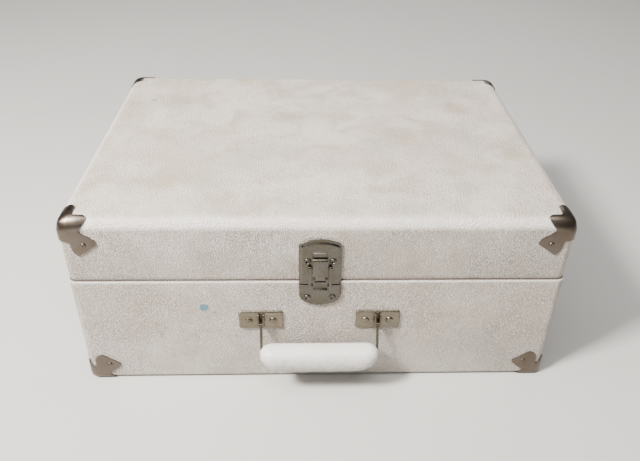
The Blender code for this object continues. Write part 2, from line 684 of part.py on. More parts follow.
def build_lever(hole, lever_axis):
    """The lever's face, with an ear on each side, a finger lip below and a notch for the hook's strap."""
    lever = front_block("latch_lever", LEVER_HALF_WIDTH, (LEVER_LOW, LEVER_HIGH), LEVER_OUT, nickel,
                        lever_axis)
    shoulder, step, foot, toe = EAR_STEPS
    profile = arc((FRONT - PIVOT_OUT, LEVER_PIVOT_HEIGHT), EAR_RADIUS, 0, 180, 6)
    profile += [(FRONT - PIVOT_OUT - EAR_RADIUS, shoulder), (FRONT - EAR_FACE, step), (FRONT - EAR_FACE, toe),
                (FRONT - PIVOT_OUT + EAR_RADIUS, foot)]
    for name, side in (("left", -1), ("right", 1)):
        near, far = sorted((side * EAR_INNER, side * LEVER_HALF_WIDTH))
        join(lever, plate(f"lever_ear_{name}", profile, near, far, "X", None, lever_axis))
    lip = [(FRONT - out, height) for out, height in LIP]
    join(lever, plate("lever_lip", lip, LIP_MARGIN - LEVER_HALF_WIDTH, LEVER_HALF_WIDTH - LIP_MARGIN, "X",
                      None, lever_axis))
    pivots = (("lever_holes", LEVER_PIVOT_HEIGHT), ("link_holes", LINK_PIVOT_HEIGHT))
    for name, height in pivots:
        cut(lever, rod(name, hole, *pivot_line(height, PIVOT_REACH), parent=lever_axis, sides=10))
    cut(lever, front_block("lever_notch", STRAP_HALF_WIDTH + GAP, (NOTCH_LOW, LEVER_HIGH + PAST), NOTCH_OUT,
                           None, lever_axis))
    link_pin = pivot_line(LINK_PIVOT_HEIGHT, LEVER_HALF_WIDTH)
    rod("latch_link_pin", STUB_RADIUS, *link_pin, steel, lever_axis, 10)


def build_hook(hole, hook_axis):
    """The hook's sheet, rolled over at its top, and the strap and eye that its pin holds."""
    hook = front_block("latch_hook", LEVER_HALF_WIDTH, (HOOK_LOW, ROLL_HEIGHT), HOOK_OUT, nickel, hook_axis)
    strap = front_block("hook_strap", STRAP_HALF_WIDTH, (STRAP_LOW, HOOK_LOW + OVERLAP), STRAP_OUT, None,
                        hook_axis)
    eye = rod("hook_eye", EYE_RADIUS, *pivot_line(LINK_PIVOT_HEIGHT, STRAP_HALF_WIDTH - HAIR),
              parent=hook_axis, sides=12)
    roll_place = (FRONT - ROLL_OUT, ROLL_HEIGHT)
    roll = rod("hook_roll", ROLL_RADIUS, (-LEVER_HALF_WIDTH - HAIR, *roll_place),
               (LEVER_HALF_WIDTH + HAIR, *roll_place), parent=hook_axis)
    join(hook, strap, eye, roll)
    cut(hook, rod("hook_eye_hole", hole, *pivot_line(LINK_PIVOT_HEIGHT, PIVOT_REACH), parent=hook_axis,
                  sides=10))


def build_latch(base_pieces, lid_pieces, lid_axis, lever_axis, hook_axis):
    hole = STUB_RADIUS + STUB_CLEARANCE
    strike = build_strike(lid_axis)
    body = build_latch_plate(hole)
    build_lever(hole, lever_axis)
    build_hook(hole, hook_axis)
    sets = (
        ("upper", STRIKE_RIVETS, -LID_INSET, lid_axis, (strike, *lid_pieces)),
        ("lower", LATCH_RIVETS, 0, None, (body, *base_pieces)),
    )
    for half, (offset, height), case_face, parent, drilled in sets:
        places = [(-offset, height), (offset, height)]
        for name, place in zip(("left", "right"), places):
            fastener(f"latch_rivet_{half}_{name}", place, PLATE_FACE + GAP, parent, RIVET_HEAD, RIVET_DIMPLE,
                     case_face)
        holes = shank_holes(f"{half}_rivet_holes", places, parent)
        for piece in drilled:
            cut(piece, holes)


def handle_ear(name, near, far):
    """One of the ears that the bail's pin turns in."""
    profile = arc((FRONT - HANDLE_AXIS_OUT, HANDLE_AXIS_HEIGHT), HANDLE_EAR_RADIUS, 180, 300, 5)
    profile += [(FRONT - OVERLAP, HANDLE_AXIS_HEIGHT - HANDLE_EAR_RADIUS * 0.9),
                (FRONT - OVERLAP, HANDLE_AXIS_HEIGHT + HANDLE_EAR_TOP),
                (FRONT - HANDLE_AXIS_OUT - HANDLE_EAR_RADIUS * 0.6, HANDLE_AXIS_HEIGHT + HANDLE_EAR_SHOULDER)]
    return plate(name, profile, near, far, "X")


def build_handle(base_pieces, handle_axis):
    screws = []
    plates = []
    half_x, half_z = HANDLE_PLATE_SIZE[0] / 2, HANDLE_PLATE_SIZE[1] / 2
    low, high = HANDLE_PLATE_HEIGHT - half_z, HANDLE_PLATE_HEIGHT + half_z
    for name, side in (("left", -1), ("right", 1)):
        x = side * HANDLE_PLATE_X
        corners = [(x - half_x, low), (x + half_x, low), (x + half_x, high), (x - half_x, high)]
        seat = front_plate(f"handle_plate_{name}", rounded_outline(corners, HANDLE_PLATE_CORNER), GAP,
                           HANDLE_PLATE_FACE, nickel)
        for ear_name, ear_side in (("inner", -side), ("outer", side)):
            near = side * BAIL_X + ear_side * HANDLE_EAR_INNER
            far = side * BAIL_X + ear_side * HANDLE_EAR_OUTER
            join(seat, handle_ear(f"handle_ear_{name}_{ear_name}", near, far))
        plates.append(seat)
        for screw_name, offset in (("left", -HANDLE_SCREW_OFFSET), ("right", HANDLE_SCREW_OFFSET)):
            place = (x + offset, HANDLE_SCREW_HEIGHT)
            fastener(f"handle_screw_{name}_{screw_name}", place, HANDLE_PLATE_FACE + GAP, None, SCREW_HEAD,
                     SCREW_DIMPLE, 0)
            screws.append(place)
    holes = shank_holes("handle_screw_holes", screws)
    axis_line = (FRONT - HANDLE_AXIS_OUT, HANDLE_AXIS_HEIGHT)
    pivots = rod("handle_pivot_holes", BAIL_PIN_RADIUS + GAP, (-PIVOTS_REACH, *axis_line),
                 (PIVOTS_REACH, *axis_line), sides=12)
    for seat in plates:
        cut(seat, holes, pivots)
    for piece in base_pieces:
        cut(piece, holes)
    bail = bail_wire("handle_bail", BAIL_RADIUS, steel, handle_axis)
    pin_reach = HANDLE_EAR_OUTER + BAIL_PIN_END
    for name, side in (("left", -1), ("right", 1)):
        x = side * BAIL_X
        join(bail, rod(f"bail_pin_{name}", BAIL_PIN_RADIUS, (x - pin_reach, *axis_line),
                       (x + pin_reach, *axis_line), parent=handle_axis, sides=12))
    profile = [(0, GRIP_HALF_LENGTH)]
    for step in range(1, GRIP_STEPS + 1):
        t = step / GRIP_STEPS
        profile.append((GRIP_RADIUS * math.sqrt(1 - (1 - t) ** 2), GRIP_HALF_LENGTH - GRIP_ROUND * t))
    profile += [(r, -h) for r, h in reversed(profile)]
    grip = turned("handle_grip", profile, (0, FRONT - GRIP_OUT, GRIP_HEIGHT), grip_vinyl, handle_axis, 20,
                  (1, 0, 0))
    cut(grip, bail_wire("grip_channel", BAIL_RADIUS + GAP, None, handle_axis))


def bail_wire(name, radius, material, parent):
    """The bent wire of the handle, from one pivot through the grip to the other."""
    top = Vector((BAIL_X, FRONT - HANDLE_AXIS_OUT, HANDLE_AXIS_HEIGHT))
    corner = Vector((BAIL_X, FRONT - GRIP_OUT, GRIP_HEIGHT))
    down = (corner - top).normalized() * BAIL_BEND
    inward = Vector((-BAIL_BEND, 0, 0))
    points = [top]
    for step in range(4):
        t = step / 3
        points.append((corner - down) * (1 - t) ** 2 + corner * 2 * t * (1 - t) + (corner + inward) * t**2)
    route = [tuple(p) for p in points] + [(-p.x, p.y, p.z) for p in reversed(points)]
    curve = bpy.data.curves.new(name, "CURVE")
    curve.dimensions = "3D"
    curve.bevel_depth = radius
    curve.bevel_resolution = 2
    curve.use_fill_caps = True
    spline = curve.splines.new("POLY")
    spline.points.add(len(route) - 1)
    for point, place in zip(spline.points, route):
        point.co = (*place, 1)
    wire = bpy.data.objects.new(name, curve)
    scene_collection.objects.link(wire)
    bpy.context.view_layer.update()
    mesh = baked(wire)
    bpy.data.objects.remove(wire, do_unlink=True)
    bpy.data.curves.remove(curve)
    obj = add_object(name, mesh, material, parent)
    smooth(obj)
    return obj


def build_hinges(lid_axis):
    axis_y = BACK + HINGE_AXIS_OUT
    full, middle = HINGE_HALF_WIDTH, HINGE_MIDDLE
    beside = middle + KNUCKLE_GAP
    leaves = (
        ("base", BACK + GAP, -1, ((-middle, middle),), None),
        ("lid", BACK - LID_INSET + GAP, 1, ((-full, -beside), (beside, full)), lid_axis),
    )
    for name, side in (("left", -1), ("right", 1)):
        x = side * HINGE_X
        bore = rod(f"hinge_bore_{name}", HINGE_PIN_RADIUS + HINGE_PIN_CLEARANCE,
                   (x - full - PAST, axis_y, HINGE_HEIGHT), (x + full + PAST, axis_y, HINGE_HEIGHT), sides=12)
        for half, face, up, spans, parent in leaves:
            low, high = sorted((HINGE_HEIGHT + up * HINGE_LEAF_GAP,
                                HINGE_HEIGHT + up * (HINGE_LEAF_GAP + HINGE_LEAF_HEIGHT)))
            leaf = block(f"hinge_{name}_{half}_leaf", (x - full, face, low),
                         (x + full, face + HINGE_SHEET, high), nickel, parent)
            low, high = sorted((HINGE_HEIGHT + up * HINGE_WEB[0], HINGE_HEIGHT + up * HINGE_WEB[1]))
            for number, (start, end) in enumerate(spans):
                label = f"{name}_{half}_{number}"
                web = block(f"hinge_web_{label}", (x + start + HAIR, face + 2 * HAIR, low),
                            (x + end - HAIR, axis_y, high), None, parent)
                knuckle = rod(f"hinge_knuckle_{label}", KNUCKLE_RADIUS, (x + start, axis_y, HINGE_HEIGHT),
                              (x + end, axis_y, HINGE_HEIGHT), None, parent, 16)
                join(leaf, web, knuckle)
            cut(leaf, bore)
        reach = full + HINGE_PIN_END
        rod(f"hinge_{name}_pin", HINGE_PIN_RADIUS, (x - reach, axis_y, HINGE_HEIGHT),
            (x + reach, axis_y, HINGE_HEIGHT), steel, None, 12)


def build_bottle(number, x, bottle_axis):
    r, neck = BOTTLE_RADIUS, BOTTLE_NECK_RADIUS
    body = [(0, BOTTLE_HEIGHT), (neck - CHAMFER, BOTTLE_HEIGHT), (neck, BOTTLE_HEIGHT - CHAMFER),
            (neck, BOTTLE_NECK_LOW), (neck + NECK_FLARE, BOTTLE_NECK_LOW - 2 * NECK_FLARE),
            (r - BOTTLE_SLOPE, BOTTLE_SHOULDER + BOTTLE_SLOPE), (r, BOTTLE_SHOULDER), (r, BOTTLE_FOOT),
            (r - BOTTLE_FOOT, 0), (0, 0)]
    turned(f"reagent_bottle_{number}", body, (x, BOTTLE_Y, STAND), bottle_glass, bottle_axis, 24)
    cap_place = (x, BOTTLE_Y, STAND + CAP_AXIS_HEIGHT)
    cap_axis = make_empty(f"cap_{number}_axis", cap_place, bottle_axis)
    inside = BOTTLE_HEIGHT + GAP
    cap = [(0, CAP_TOP), (CAP_RADIUS - 2 * CHAMFER, CAP_TOP), (CAP_RADIUS - GAP, CAP_TOP - 1.5 * CHAMFER),
           (CAP_RADIUS, CAP_LOW), (CAP_BORE, CAP_LOW), (CAP_BORE, inside), (0, inside)]
    turned(f"bottle_cap_{number}", [(radius, height - CAP_AXIS_HEIGHT) for radius, height in cap], cap_place,
           cap_plastic, cap_axis, 24)


def build_tube(number, x, tube_axis):
    r, bore, length = TUBE_RADIUS, TUBE_RADIUS - TUBE_WALL, TUBE_LENGTH
    floor = 2 * TUBE_WALL
    body = [(0, floor), (bore * 0.7, floor + TUBE_WALL), (bore, TUBE_ROUND + floor), (bore, length),
            (r, length), (r, TUBE_ROUND), (r * 0.75, TUBE_WALL), (r * 0.4, 0), (0, 0)]
    turned(f"sample_tube_{number}", body, (x, TUBE_Y, STAND), tube_glass, tube_axis, 16)
    mouth = (x, TUBE_Y, STAND + length)
    stopper_axis = make_empty(f"stopper_{number}_axis", mouth, tube_axis)
    plug = bore - GAP
    stopper = [(0, STOPPER_HEIGHT), (r - CHAMFER, STOPPER_HEIGHT), (r, STOPPER_HEIGHT - CHAMFER), (r, GAP),
               (plug, GAP), (plug - CHAMFER / 2, -TUBE_PLUG), (0, -TUBE_PLUG)]
    turned(f"tube_stopper_{number}", stopper, mouth, rubber, stopper_axis, 16)


def build_comparator(lift_axis):
    cx, cy = COMPARATOR_CENTRE
    half_x, half_y = COMPARATOR_SIZE[0] / 2, COMPARATOR_SIZE[1] / 2
    top = STAND + COMPARATOR_SIZE[2]
    front, back = cy - half_y, cy + half_y
    height = STAND + DISC_HEIGHT
    body = block("comparator_body", (cx - half_x, front, STAND), (cx + half_x, back, top), bakelite,
                 lift_axis, COMPARATOR_ROUND)
    half = SOCKET_HALF_WIDTH
    for name, offset in zip(("left", "right"), SOCKET_X):
        x = cx + offset
        cut(body, block(f"socket_{name}", (x - half, cy - half, STAND + SOCKET_FLOOR),
                        (x + half, cy + half, top + PAST), parent=lift_axis))
        cut(body, rod(f"aperture_{name}", APERTURE_RADIUS, (x, front - PAST, height),
                      (x, back + PAST, height), parent=lift_axis, sides=14))
    hub_y = front - GAP - DISC_THICKNESS - GAP
    x = cx + DISC_X
    bore_radius, bore_depth = HUB_BORE
    cut(body, rod("hub_hole", bore_radius, (x, front - PAST, height), (x, front + bore_depth, height),
                  parent=lift_axis, sides=12))
    hub = [(0, HUB_HEIGHT), (HUB_RADIUS - CHAMFER, HUB_HEIGHT), (HUB_RADIUS, HUB_HEIGHT - CHAMFER),
           (HUB_RADIUS, 0), (HUB_SHAFT_RADIUS, 0), (HUB_SHAFT_RADIUS, -HUB_SHAFT_LENGTH),
           (0, -HUB_SHAFT_LENGTH)]
    turned("comparator_hub", hub, (x, hub_y, height), steel, lift_axis, 12, (0, -1, 0))
    disc_axis = make_empty("disc_axis", (x, front, height), lift_axis)
    disc = rod("comparator_disc", DISC_RADIUS, (x, front - GAP, height),
               (x, front - GAP - DISC_THICKNESS, height), white_plastic, disc_axis, 36)
    holes = [(DISC_BORE, 0, 0)]
    for number in range(DISC_WINDOWS):
        angle = 2 * math.pi * number / DISC_WINDOWS
        holes.append((WINDOW_RADIUS, WINDOW_RING * math.cos(angle), WINDOW_RING * math.sin(angle)))
    bm = bmesh.new()
    turn = Matrix.Rotation(math.pi / 2, 3, "X")
    for radius, across, up in holes:
        found = bmesh.ops.create_cone(bm, cap_ends=True, segments=12, radius1=radius, radius2=radius,
                                      depth=4 * DISC_THICKNESS)
        bmesh.ops.rotate(bm, matrix=turn, verts=found["verts"])
        bmesh.ops.translate(bm, vec=(across, 0, up), verts=found["verts"])
    cut(disc, add_object("disc_cutter", mesh_of("disc_cutter", bm), None, disc_axis,
                         (x, front - GAP - DISC_THICKNESS / 2, height)))


def build_rack():
    half_x = CASE_WIDTH / 2 - (COVERING + GAP + BASE_BOARD + GAP + BASE_LINING) - DECK_MARGIN
    half_y = half_x - (CASE_WIDTH - CASE_DEPTH) / 2
    deck_low = DECK_TOP - DECK_THICKNESS
    front_board = block("rack_deck_front", (-half_x, -half_y, deck_low),
                        (DECK_RIGHT, DECK_JOINT_Y - GAP / 2, DECK_TOP), plywood)
    back_board = block("rack_deck_back", (-half_x, DECK_JOINT_Y + GAP / 2, deck_low),
                       (DECK_RIGHT, half_y, DECK_TOP), plywood)
    above, below = DECK_TOP + PAST, deck_low - PAST
    for number, x in enumerate(BOTTLE_X):
        cut(back_board, rod(f"bottle_well_{number}", BOTTLE_RADIUS + WELL_CLEARANCE, (x, BOTTLE_Y, below),
                            (x, BOTTLE_Y, above), sides=24))
    half = TUBE_RADIUS + WELL_CLEARANCE
    for number, x in enumerate(TUBE_X):
        cut(front_board, block(f"tube_well_{number}", (x - half, TUBE_Y - half, below),
                               (x + half, TUBE_Y + half, above)))
    cx, cy = COMPARATOR_CENTRE
    beside, ahead, behind = COMPARATOR_WELL
    reach_x, reach_y = COMPARATOR_SIZE[0] / 2 + beside, COMPARATOR_SIZE[1] / 2
    cut(front_board, block("comparator_well", (cx - reach_x, cy - reach_y - ahead, below),
                           (cx + reach_x, cy + reach_y + behind, above)))
    block("rack_support", (-half_x, -half_y, STAND), (CLEAT_WIDTH - half_x, half_y, deck_low - GAP), plywood)
    divider_left = DECK_RIGHT + GAP
    divider = block("rack_divider", (divider_left, -half_y, STAND),
                    (divider_left + DIVIDER_THICKNESS, half_y, DIVIDER_TOP), plywood)
    join(divider, block("divider_cleat", (DECK_RIGHT - CLEAT_WIDTH, -half_y, STAND),
                        (divider_left + DIVIDER_THICKNESS / 2, half_y, deck_low - GAP)))


def main():
    lid_axis = make_empty("lid_axis", (0, BACK + HINGE_AXIS_OUT, HINGE_HEIGHT), case_frame)
    lever_axis = make_empty("lever_axis", (0, FRONT - PIVOT_OUT, LEVER_PIVOT_HEIGHT), case_frame)
    hook_axis = make_empty("hook_axis", (0, FRONT - PIVOT_OUT, LINK_PIVOT_HEIGHT), lever_axis)
    handle_axis = make_empty("handle_axis", (0, FRONT - HANDLE_AXIS_OUT, HANDLE_AXIS_HEIGHT), case_frame)
    base_pieces = build_base()
    lid_pieces = build_lid(lid_axis)
    build_corners(lid_axis)
    build_latch(base_pieces, lid_pieces, lid_axis, lever_axis, hook_axis)
    build_handle(base_pieces, handle_axis)
    build_hinges(lid_axis)
    build_rack()
    for number, x in enumerate(BOTTLE_X, 1):
        build_bottle(number, x, make_empty(f"bottle_{number}_axis", (x, BOTTLE_Y, STAND), case_frame))
    for number, x in enumerate(TUBE_X, 1):
        build_tube(number, x, make_empty(f"tube_{number}_axis", (x, TUBE_Y, STAND), case_frame))
    build_comparator(make_empty("comparator_axis", (*COMPARATOR_CENTRE, STAND), case_frame))


main()
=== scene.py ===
"""Looks of the water test kit: a white leatherette case with metal corners, a draw latch and a padded grip,
and the rack of bottles, tubes and comparator inside it. Units are metres, in the CAD model's frame."""

from math import asin, copysign, cos, degrees, pi, radians, sin, sqrt, tan

import bmesh
import bpy
from mathutils import Matrix, Vector


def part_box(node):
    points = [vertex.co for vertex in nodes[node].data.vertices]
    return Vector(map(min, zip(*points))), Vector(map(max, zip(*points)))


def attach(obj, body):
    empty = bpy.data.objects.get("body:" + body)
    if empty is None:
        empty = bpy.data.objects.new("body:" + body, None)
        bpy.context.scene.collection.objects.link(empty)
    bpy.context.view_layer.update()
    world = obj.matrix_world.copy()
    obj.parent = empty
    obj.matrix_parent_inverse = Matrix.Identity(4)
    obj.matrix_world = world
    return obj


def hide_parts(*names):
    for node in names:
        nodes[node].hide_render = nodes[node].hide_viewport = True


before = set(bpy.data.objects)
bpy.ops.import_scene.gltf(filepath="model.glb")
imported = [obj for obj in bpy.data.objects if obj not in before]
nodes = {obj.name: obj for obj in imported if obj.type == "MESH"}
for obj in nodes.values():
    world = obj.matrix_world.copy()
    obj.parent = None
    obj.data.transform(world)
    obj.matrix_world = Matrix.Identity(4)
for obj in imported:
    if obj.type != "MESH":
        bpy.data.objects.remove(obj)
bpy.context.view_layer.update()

# ---------------------------------------------------------------- sizes read from the frame

base_low, base_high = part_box("base_covering")
lid_low, lid_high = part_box("lid_covering")
deck_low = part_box("rack_deck_front")[0]
MIDDLE_Y = (base_low.y + base_high.y) / 2
FRONT = base_low.y
BACK = base_high.y
SEAM = base_high.z

# Sizes that the frame's boxes don't give; part.py has the same values
TOP_EDGE_RADIUS = 0.0113
UPRIGHT_EDGE_RADIUS = 0.0073
BOTTOM_EDGE_RADIUS = 0.0040
COVERING = 0.0009
BASE_BOARD = 0.0060
LID_BOARD = 0.0048
GAP = 0.0003
RIM_ROUND = 0.0017
SIDES = (("left", -1), ("right", 1))


def link_object(name, data):
    made = bpy.data.objects.new(name, data)
    bpy.context.scene.collection.objects.link(made)
    return made


# ---------------------------------------------------------------- camera, light and floor

CAMERA_PLACE = (-0.0130, MIDDLE_Y - 0.5736, 0.4491)
CAMERA_YAW, CAMERA_PITCH, CAMERA_ROLL = -0.0484, 0.6017, 0.0260
CAMERA_LENS = 37.08
CAMERA_SHIFT = (-0.0163, 0.0050)


def add_camera():
    """The main view: 34 degrees above the front, turned a little to the left."""
    yaw, pitch, roll = CAMERA_YAW, CAMERA_PITCH, CAMERA_ROLL
    forward = Vector((-sin(yaw) * cos(pitch), cos(yaw) * cos(pitch), -sin(pitch)))
    level = Vector((cos(yaw), sin(yaw), 0))
    up = level.cross(forward)
    right = level * cos(roll) + up * sin(roll)
    upright = -level * sin(roll) + up * cos(roll)
    data = bpy.data.cameras.new("camera")
    data.sensor_width = 36
    data.lens = CAMERA_LENS
    data.shift_x, data.shift_y = CAMERA_SHIFT
    data.clip_start = 0.01
    camera = link_object("camera", data)
    turn = Matrix((right, upright, -forward)).transposed().to_4x4()
    camera.matrix_world = Matrix.Translation(CAMERA_PLACE) @ turn
    bpy.context.scene.camera = camera


def add_area_light(name, place, target, size, power, colour=(1, 1, 1)):
    data = bpy.data.lights.new(name, "AREA")
    data.shape = "RECTANGLE"
    data.size, data.size_y = size
    data.energy = power
    data.color = colour
    light = link_object(name, data)
    light.location = place
    light.rotation_euler = (Vector(target) - Vector(place)).to_track_quat("-Z", "Y").to_euler()


def add_studio():
    world = bpy.data.worlds.new("studio")
    bpy.context.scene.world = world
    world.use_nodes = True
    tree = world.node_tree
    background = tree.nodes["Background"]
    background.inputs["Strength"].default_value = 0.25
    coords = tree.nodes.new("ShaderNodeTexCoord")
    split = tree.nodes.new("ShaderNodeSeparateXYZ")
    ramp = tree.nodes.new("ShaderNodeValToRGB")
    tree.links.new(coords.outputs["Generated"], split.inputs[0])
    tree.links.new(split.outputs["Z"], ramp.inputs["Fac"])
    tree.links.new(ramp.outputs["Color"], background.inputs["Color"])
    ramp.color_ramp.elements[0].position = 0.0
    ramp.color_ramp.elements[0].color = (0.50, 0.50, 0.50, 1)
    ramp.color_ramp.elements[1].position = 0.8
    ramp.color_ramp.elements[1].color = (0.83, 0.81, 0.79, 1)
    target = (0, MIDDLE_Y, 0.1)
    add_area_light("key", (-0.92, -0.66, 1.28), target, (0.28, 0.28), 76, (1, 0.935, 0.86))
    add_area_light("window", (-0.45, -1.70, 0.95), target, (1.3, 0.12), 3, (1, 0.97, 0.94))
    add_area_light("overhead", (-0.15, -0.50, 1.50), target, (1.50, 0.70), 18, (1, 0.955, 0.91))
    add_area_light("back", (0.25, 1.45, 1.15), target, (1.6, 0.7), 10, (1, 0.96, 0.92))
    bm = bmesh.new()
    bmesh.ops.create_grid(bm, x_segments=1, y_segments=1, size=6)
    floor = add_piece("floor", bm)
    paint = Shading("floor_paint", (0.60, 0.60, 0.59), 0.55)
    mottling = paint.noise(3, 3)
    paint.colour(paint.mix(mottling, (0.575, 0.575, 0.565), (0.625, 0.625, 0.615)))
    floor.data.materials.append(paint.material)


# ---------------------------------------------------------------- shading

def scaled(colour, factor):
    return tuple(c * factor for c in colour)


class Shading:
    """A Principled material with its node links made by short calls. Places are in metres in the frame."""

    def __init__(self, name, colour, roughness, metallic=0.0):
        self.material = bpy.data.materials.new(name)
        self.material.use_nodes = True
        self.tree = self.material.node_tree
        self.shader = self.tree.nodes["Principled BSDF"]
        self.set("Base Color", (*colour, 1))
        self.set("Roughness", roughness)
        self.set("Metallic", metallic)
        self.coords = self.tree.nodes.new("ShaderNodeTexCoord").outputs["Object"]

    def set(self, name, value):
        self.shader.inputs[name].default_value = value

    def node(self, kind, **settings):
        made = self.tree.nodes.new(kind)
        for key, value in settings.items():
            setattr(made, key, value)
        return made

    def feed(self, socket, value):
        if isinstance(value, bpy.types.NodeSocket):
            self.tree.links.new(value, socket)
        elif isinstance(value, tuple) and len(value) == 3 and socket.type == "RGBA":
            socket.default_value = (*value, 1)
        else:
            socket.default_value = value

    def noise(self, scale, detail=2.0, roughness=0.5, distortion=0.0, stretch=None, offset=(0, 0, 0)):
        where = self.coords
        if stretch or offset != (0, 0, 0):
            mapping = self.node("ShaderNodeMapping")
            self.feed(mapping.inputs["Vector"], where)
            self.feed(mapping.inputs["Scale"], stretch or (1, 1, 1))
            self.feed(mapping.inputs["Location"], offset)
            where = mapping.outputs[0]
        made = self.node("ShaderNodeTexNoise")
        self.feed(made.inputs["Vector"], where)
        for key, value in (("Scale", scale), ("Detail", detail), ("Roughness", roughness),
                           ("Distortion", distortion)):
            self.feed(made.inputs[key], value)
        return made.outputs["Fac"]

    def cells(self, scale, warp, warp_scale):
        """The distance to the edges of irregular cells, whose outlines a noise bends."""
        bent = self.node("ShaderNodeTexNoise")
        self.feed(bent.inputs["Vector"], self.coords)
        self.feed(bent.inputs["Scale"], warp_scale)
        shift = self.node("ShaderNodeVectorMath", operation="MULTIPLY_ADD")
        for place, value in enumerate((bent.outputs["Color"], (warp, warp, warp), self.coords)):
            self.feed(shift.inputs[place], value)
        made = self.node("ShaderNodeTexVoronoi", feature="DISTANCE_TO_EDGE")
        self.feed(made.inputs["Vector"], shift.outputs[0])
        self.feed(made.inputs["Scale"], scale)
        return made.outputs["Distance"]

    def range(self, value, low, high, to_low=0.0, to_high=1.0):
        made = self.node("ShaderNodeMapRange", clamp=True)
        for key, number in (("Value", value), ("From Min", low), ("From Max", high), ("To Min", to_low),
                            ("To Max", to_high)):
            self.feed(made.inputs[key], number)
        return made.outputs[0]

    def math(self, operation, first, second=0.0):
        made = self.node("ShaderNodeMath", operation=operation)
        self.feed(made.inputs[0], first)
        self.feed(made.inputs[1], second)
        return made.outputs[0]

    def times(self, first, second):
        return self.math("MULTIPLY", first, second)

    def mix(self, factor, first, second, blend="MIX"):
        made = self.node("ShaderNodeMix", data_type="RGBA", blend_type=blend)
        self.feed(made.inputs[0], factor)
        self.feed(made.inputs[6], first)
        self.feed(made.inputs[7], second)
        return made.outputs[2]

    def stain(self, tint, mask, strength, colour):
        """Lays a colour over a tint where the mask and the strength let it show."""
        return self.mix(self.times(mask, strength), tint, colour)

    def axis(self, name):
        split = self.node("ShaderNodeSeparateXYZ")
        self.feed(split.inputs[0], self.coords)
        return split.outputs[name]

    def normal_axis(self, name):
        geometry = self.node("ShaderNodeNewGeometry")
        split = self.node("ShaderNodeSeparateXYZ")
        self.feed(split.inputs[0], geometry.outputs["True Normal"])
        return split.outputs[name]

    def distance(self, place):
        made = self.node("ShaderNodeVectorMath", operation="DISTANCE")
        self.feed(made.inputs[0], self.coords)
        self.feed(made.inputs[1], place)
        return made.outputs["Value"]

    def within(self, value, middle, inner, outer):
        """1 where value is within inner of the middle, falling to 0 at outer."""
        return self.range(self.math("ABSOLUTE", self.math("SUBTRACT", value, middle)), inner, outer, 1, 0)

    def near(self, place, radius, soft=0.4, ragged=0.0):
        """1 within radius of a place, falling to 0 past it."""
        distance = self.distance(place)
        if ragged:
            wobble = self.range(self.noise(1.6 / radius, 3), 0.3, 0.7, -ragged, ragged)
            distance = self.math("ADD", distance, wobble)
        return self.range(distance, radius * (1 - soft), radius * (1 + soft), 1, 0)

    def colour(self, value):
        self.feed(self.shader.inputs["Base Color"], value)

    def rough(self, value):
        self.feed(self.shader.inputs["Roughness"], value)

    def bump(self, *layers):
        """Layers of (height, strength, depth in metres), finest last."""
        normal = None
        for height, strength, depth in layers:
            made = self.node("ShaderNodeBump")
            self.feed(made.inputs["Height"], height)
            self.feed(made.inputs["Strength"], strength)
            self.feed(made.inputs["Distance"], depth)
            if normal:
                self.feed(made.inputs["Normal"], normal)
            normal = made.outputs[0]
        self.feed(self.shader.inputs["Normal"], normal)


# ---------------------------------------------------------------- mesh tools

def mesh_from(bm, name):
    mesh = bpy.data.meshes.new(name)
    bm.to_mesh(mesh)
    bm.free()
    return mesh


def add_piece(name, shape, material=None, body=None, smooth_angle=35, replaced=None):
    """Makes a bmesh a piece of the object, shades it, and lets it ride and stand for a CAD node."""
    piece = link_object(name, mesh_from(shape, name))
    reshade(piece, smooth_angle)
    if material:
        finish(piece, material)
    if body:
        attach(piece, body)
    if replaced:
        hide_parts(replaced)
    return piece


def finish(piece, material):
    piece.data.materials.clear()
    piece.data.materials.append(material)


def loft(rings, close_start=True):
    """A mesh through rings of the same number of points."""
    bm = bmesh.new()
    rows = [[bm.verts.new(p) for p in ring] for ring in rings]
    count = len(rows[0])
    for near, far in zip(rows, rows[1:]):
        for i in range(count):
            j = (i + 1) % count
            bm.faces.new((near[i], near[j], far[j], far[i]))
    if close_start:
        bm.faces.new(list(reversed(rows[0])))
    bm.faces.new(rows[-1])
    bmesh.ops.recalc_face_normals(bm, faces=bm.faces)
    return bm


def rounded_rectangle(half_x, half_y, radius, steps=8):
    """Points anticlockwise round a rectangle with round corners."""
    radius = max(radius, 0.0002)
    points = []
    for quarter, (sx, sy) in enumerate(((1, 1), (-1, 1), (-1, -1), (1, -1))):
        for step in range(steps + 1):
            angle = pi / 2 * (quarter + step / steps)
            points.append((sx * (half_x - radius) + radius * cos(angle),
                           sy * (half_y - radius) + radius * sin(angle)))
    return points


def arc(centre, radius, start, end, steps):
    """Points on a circle between two angles in degrees."""
    angles = [radians(start + (end - start) * i / steps) for i in range(steps + 1)]
    return [(centre[0] + radius * cos(a), centre[1] + radius * sin(a)) for a in angles]


def circle(centre, radius, count):
    return arc(centre, radius, 0, 360, count)[:-1]


def lathe(profile, segments=32):
    """A turned mesh round Z from (radius, height) pairs."""
    bm = bmesh.new()
    rings = []
    for radius, height in profile:
        if radius < 1e-7:
            rings.append([bm.verts.new((0, 0, height))])
        else:
            rings.append([bm.verts.new((radius * cos(2 * pi * i / segments),
                                        radius * sin(2 * pi * i / segments), height))
                          for i in range(segments)])
    for near, far in zip(rings, rings[1:]):
        for i in range(segments):
            j = (i + 1) % segments
            corners = [near[i % len(near)], near[j % len(near)], far[j % len(far)], far[i % len(far)]]
            unique = list(dict.fromkeys(corners))
            if len(unique) > 2:
                bm.faces.new(unique)
    bmesh.ops.recalc_face_normals(bm, faces=bm.faces)
    return bm


def bend(start, corner, end, steps):
    """Points on a curve that leaves start towards corner and arrives at end from it."""
    start, corner, end = Vector(start), Vector(corner), Vector(end)
    return [tuple(start * (1 - t) ** 2 + corner * 2 * t * (1 - t) + end * t**2)
            for t in (step / steps for step in range(steps + 1))]


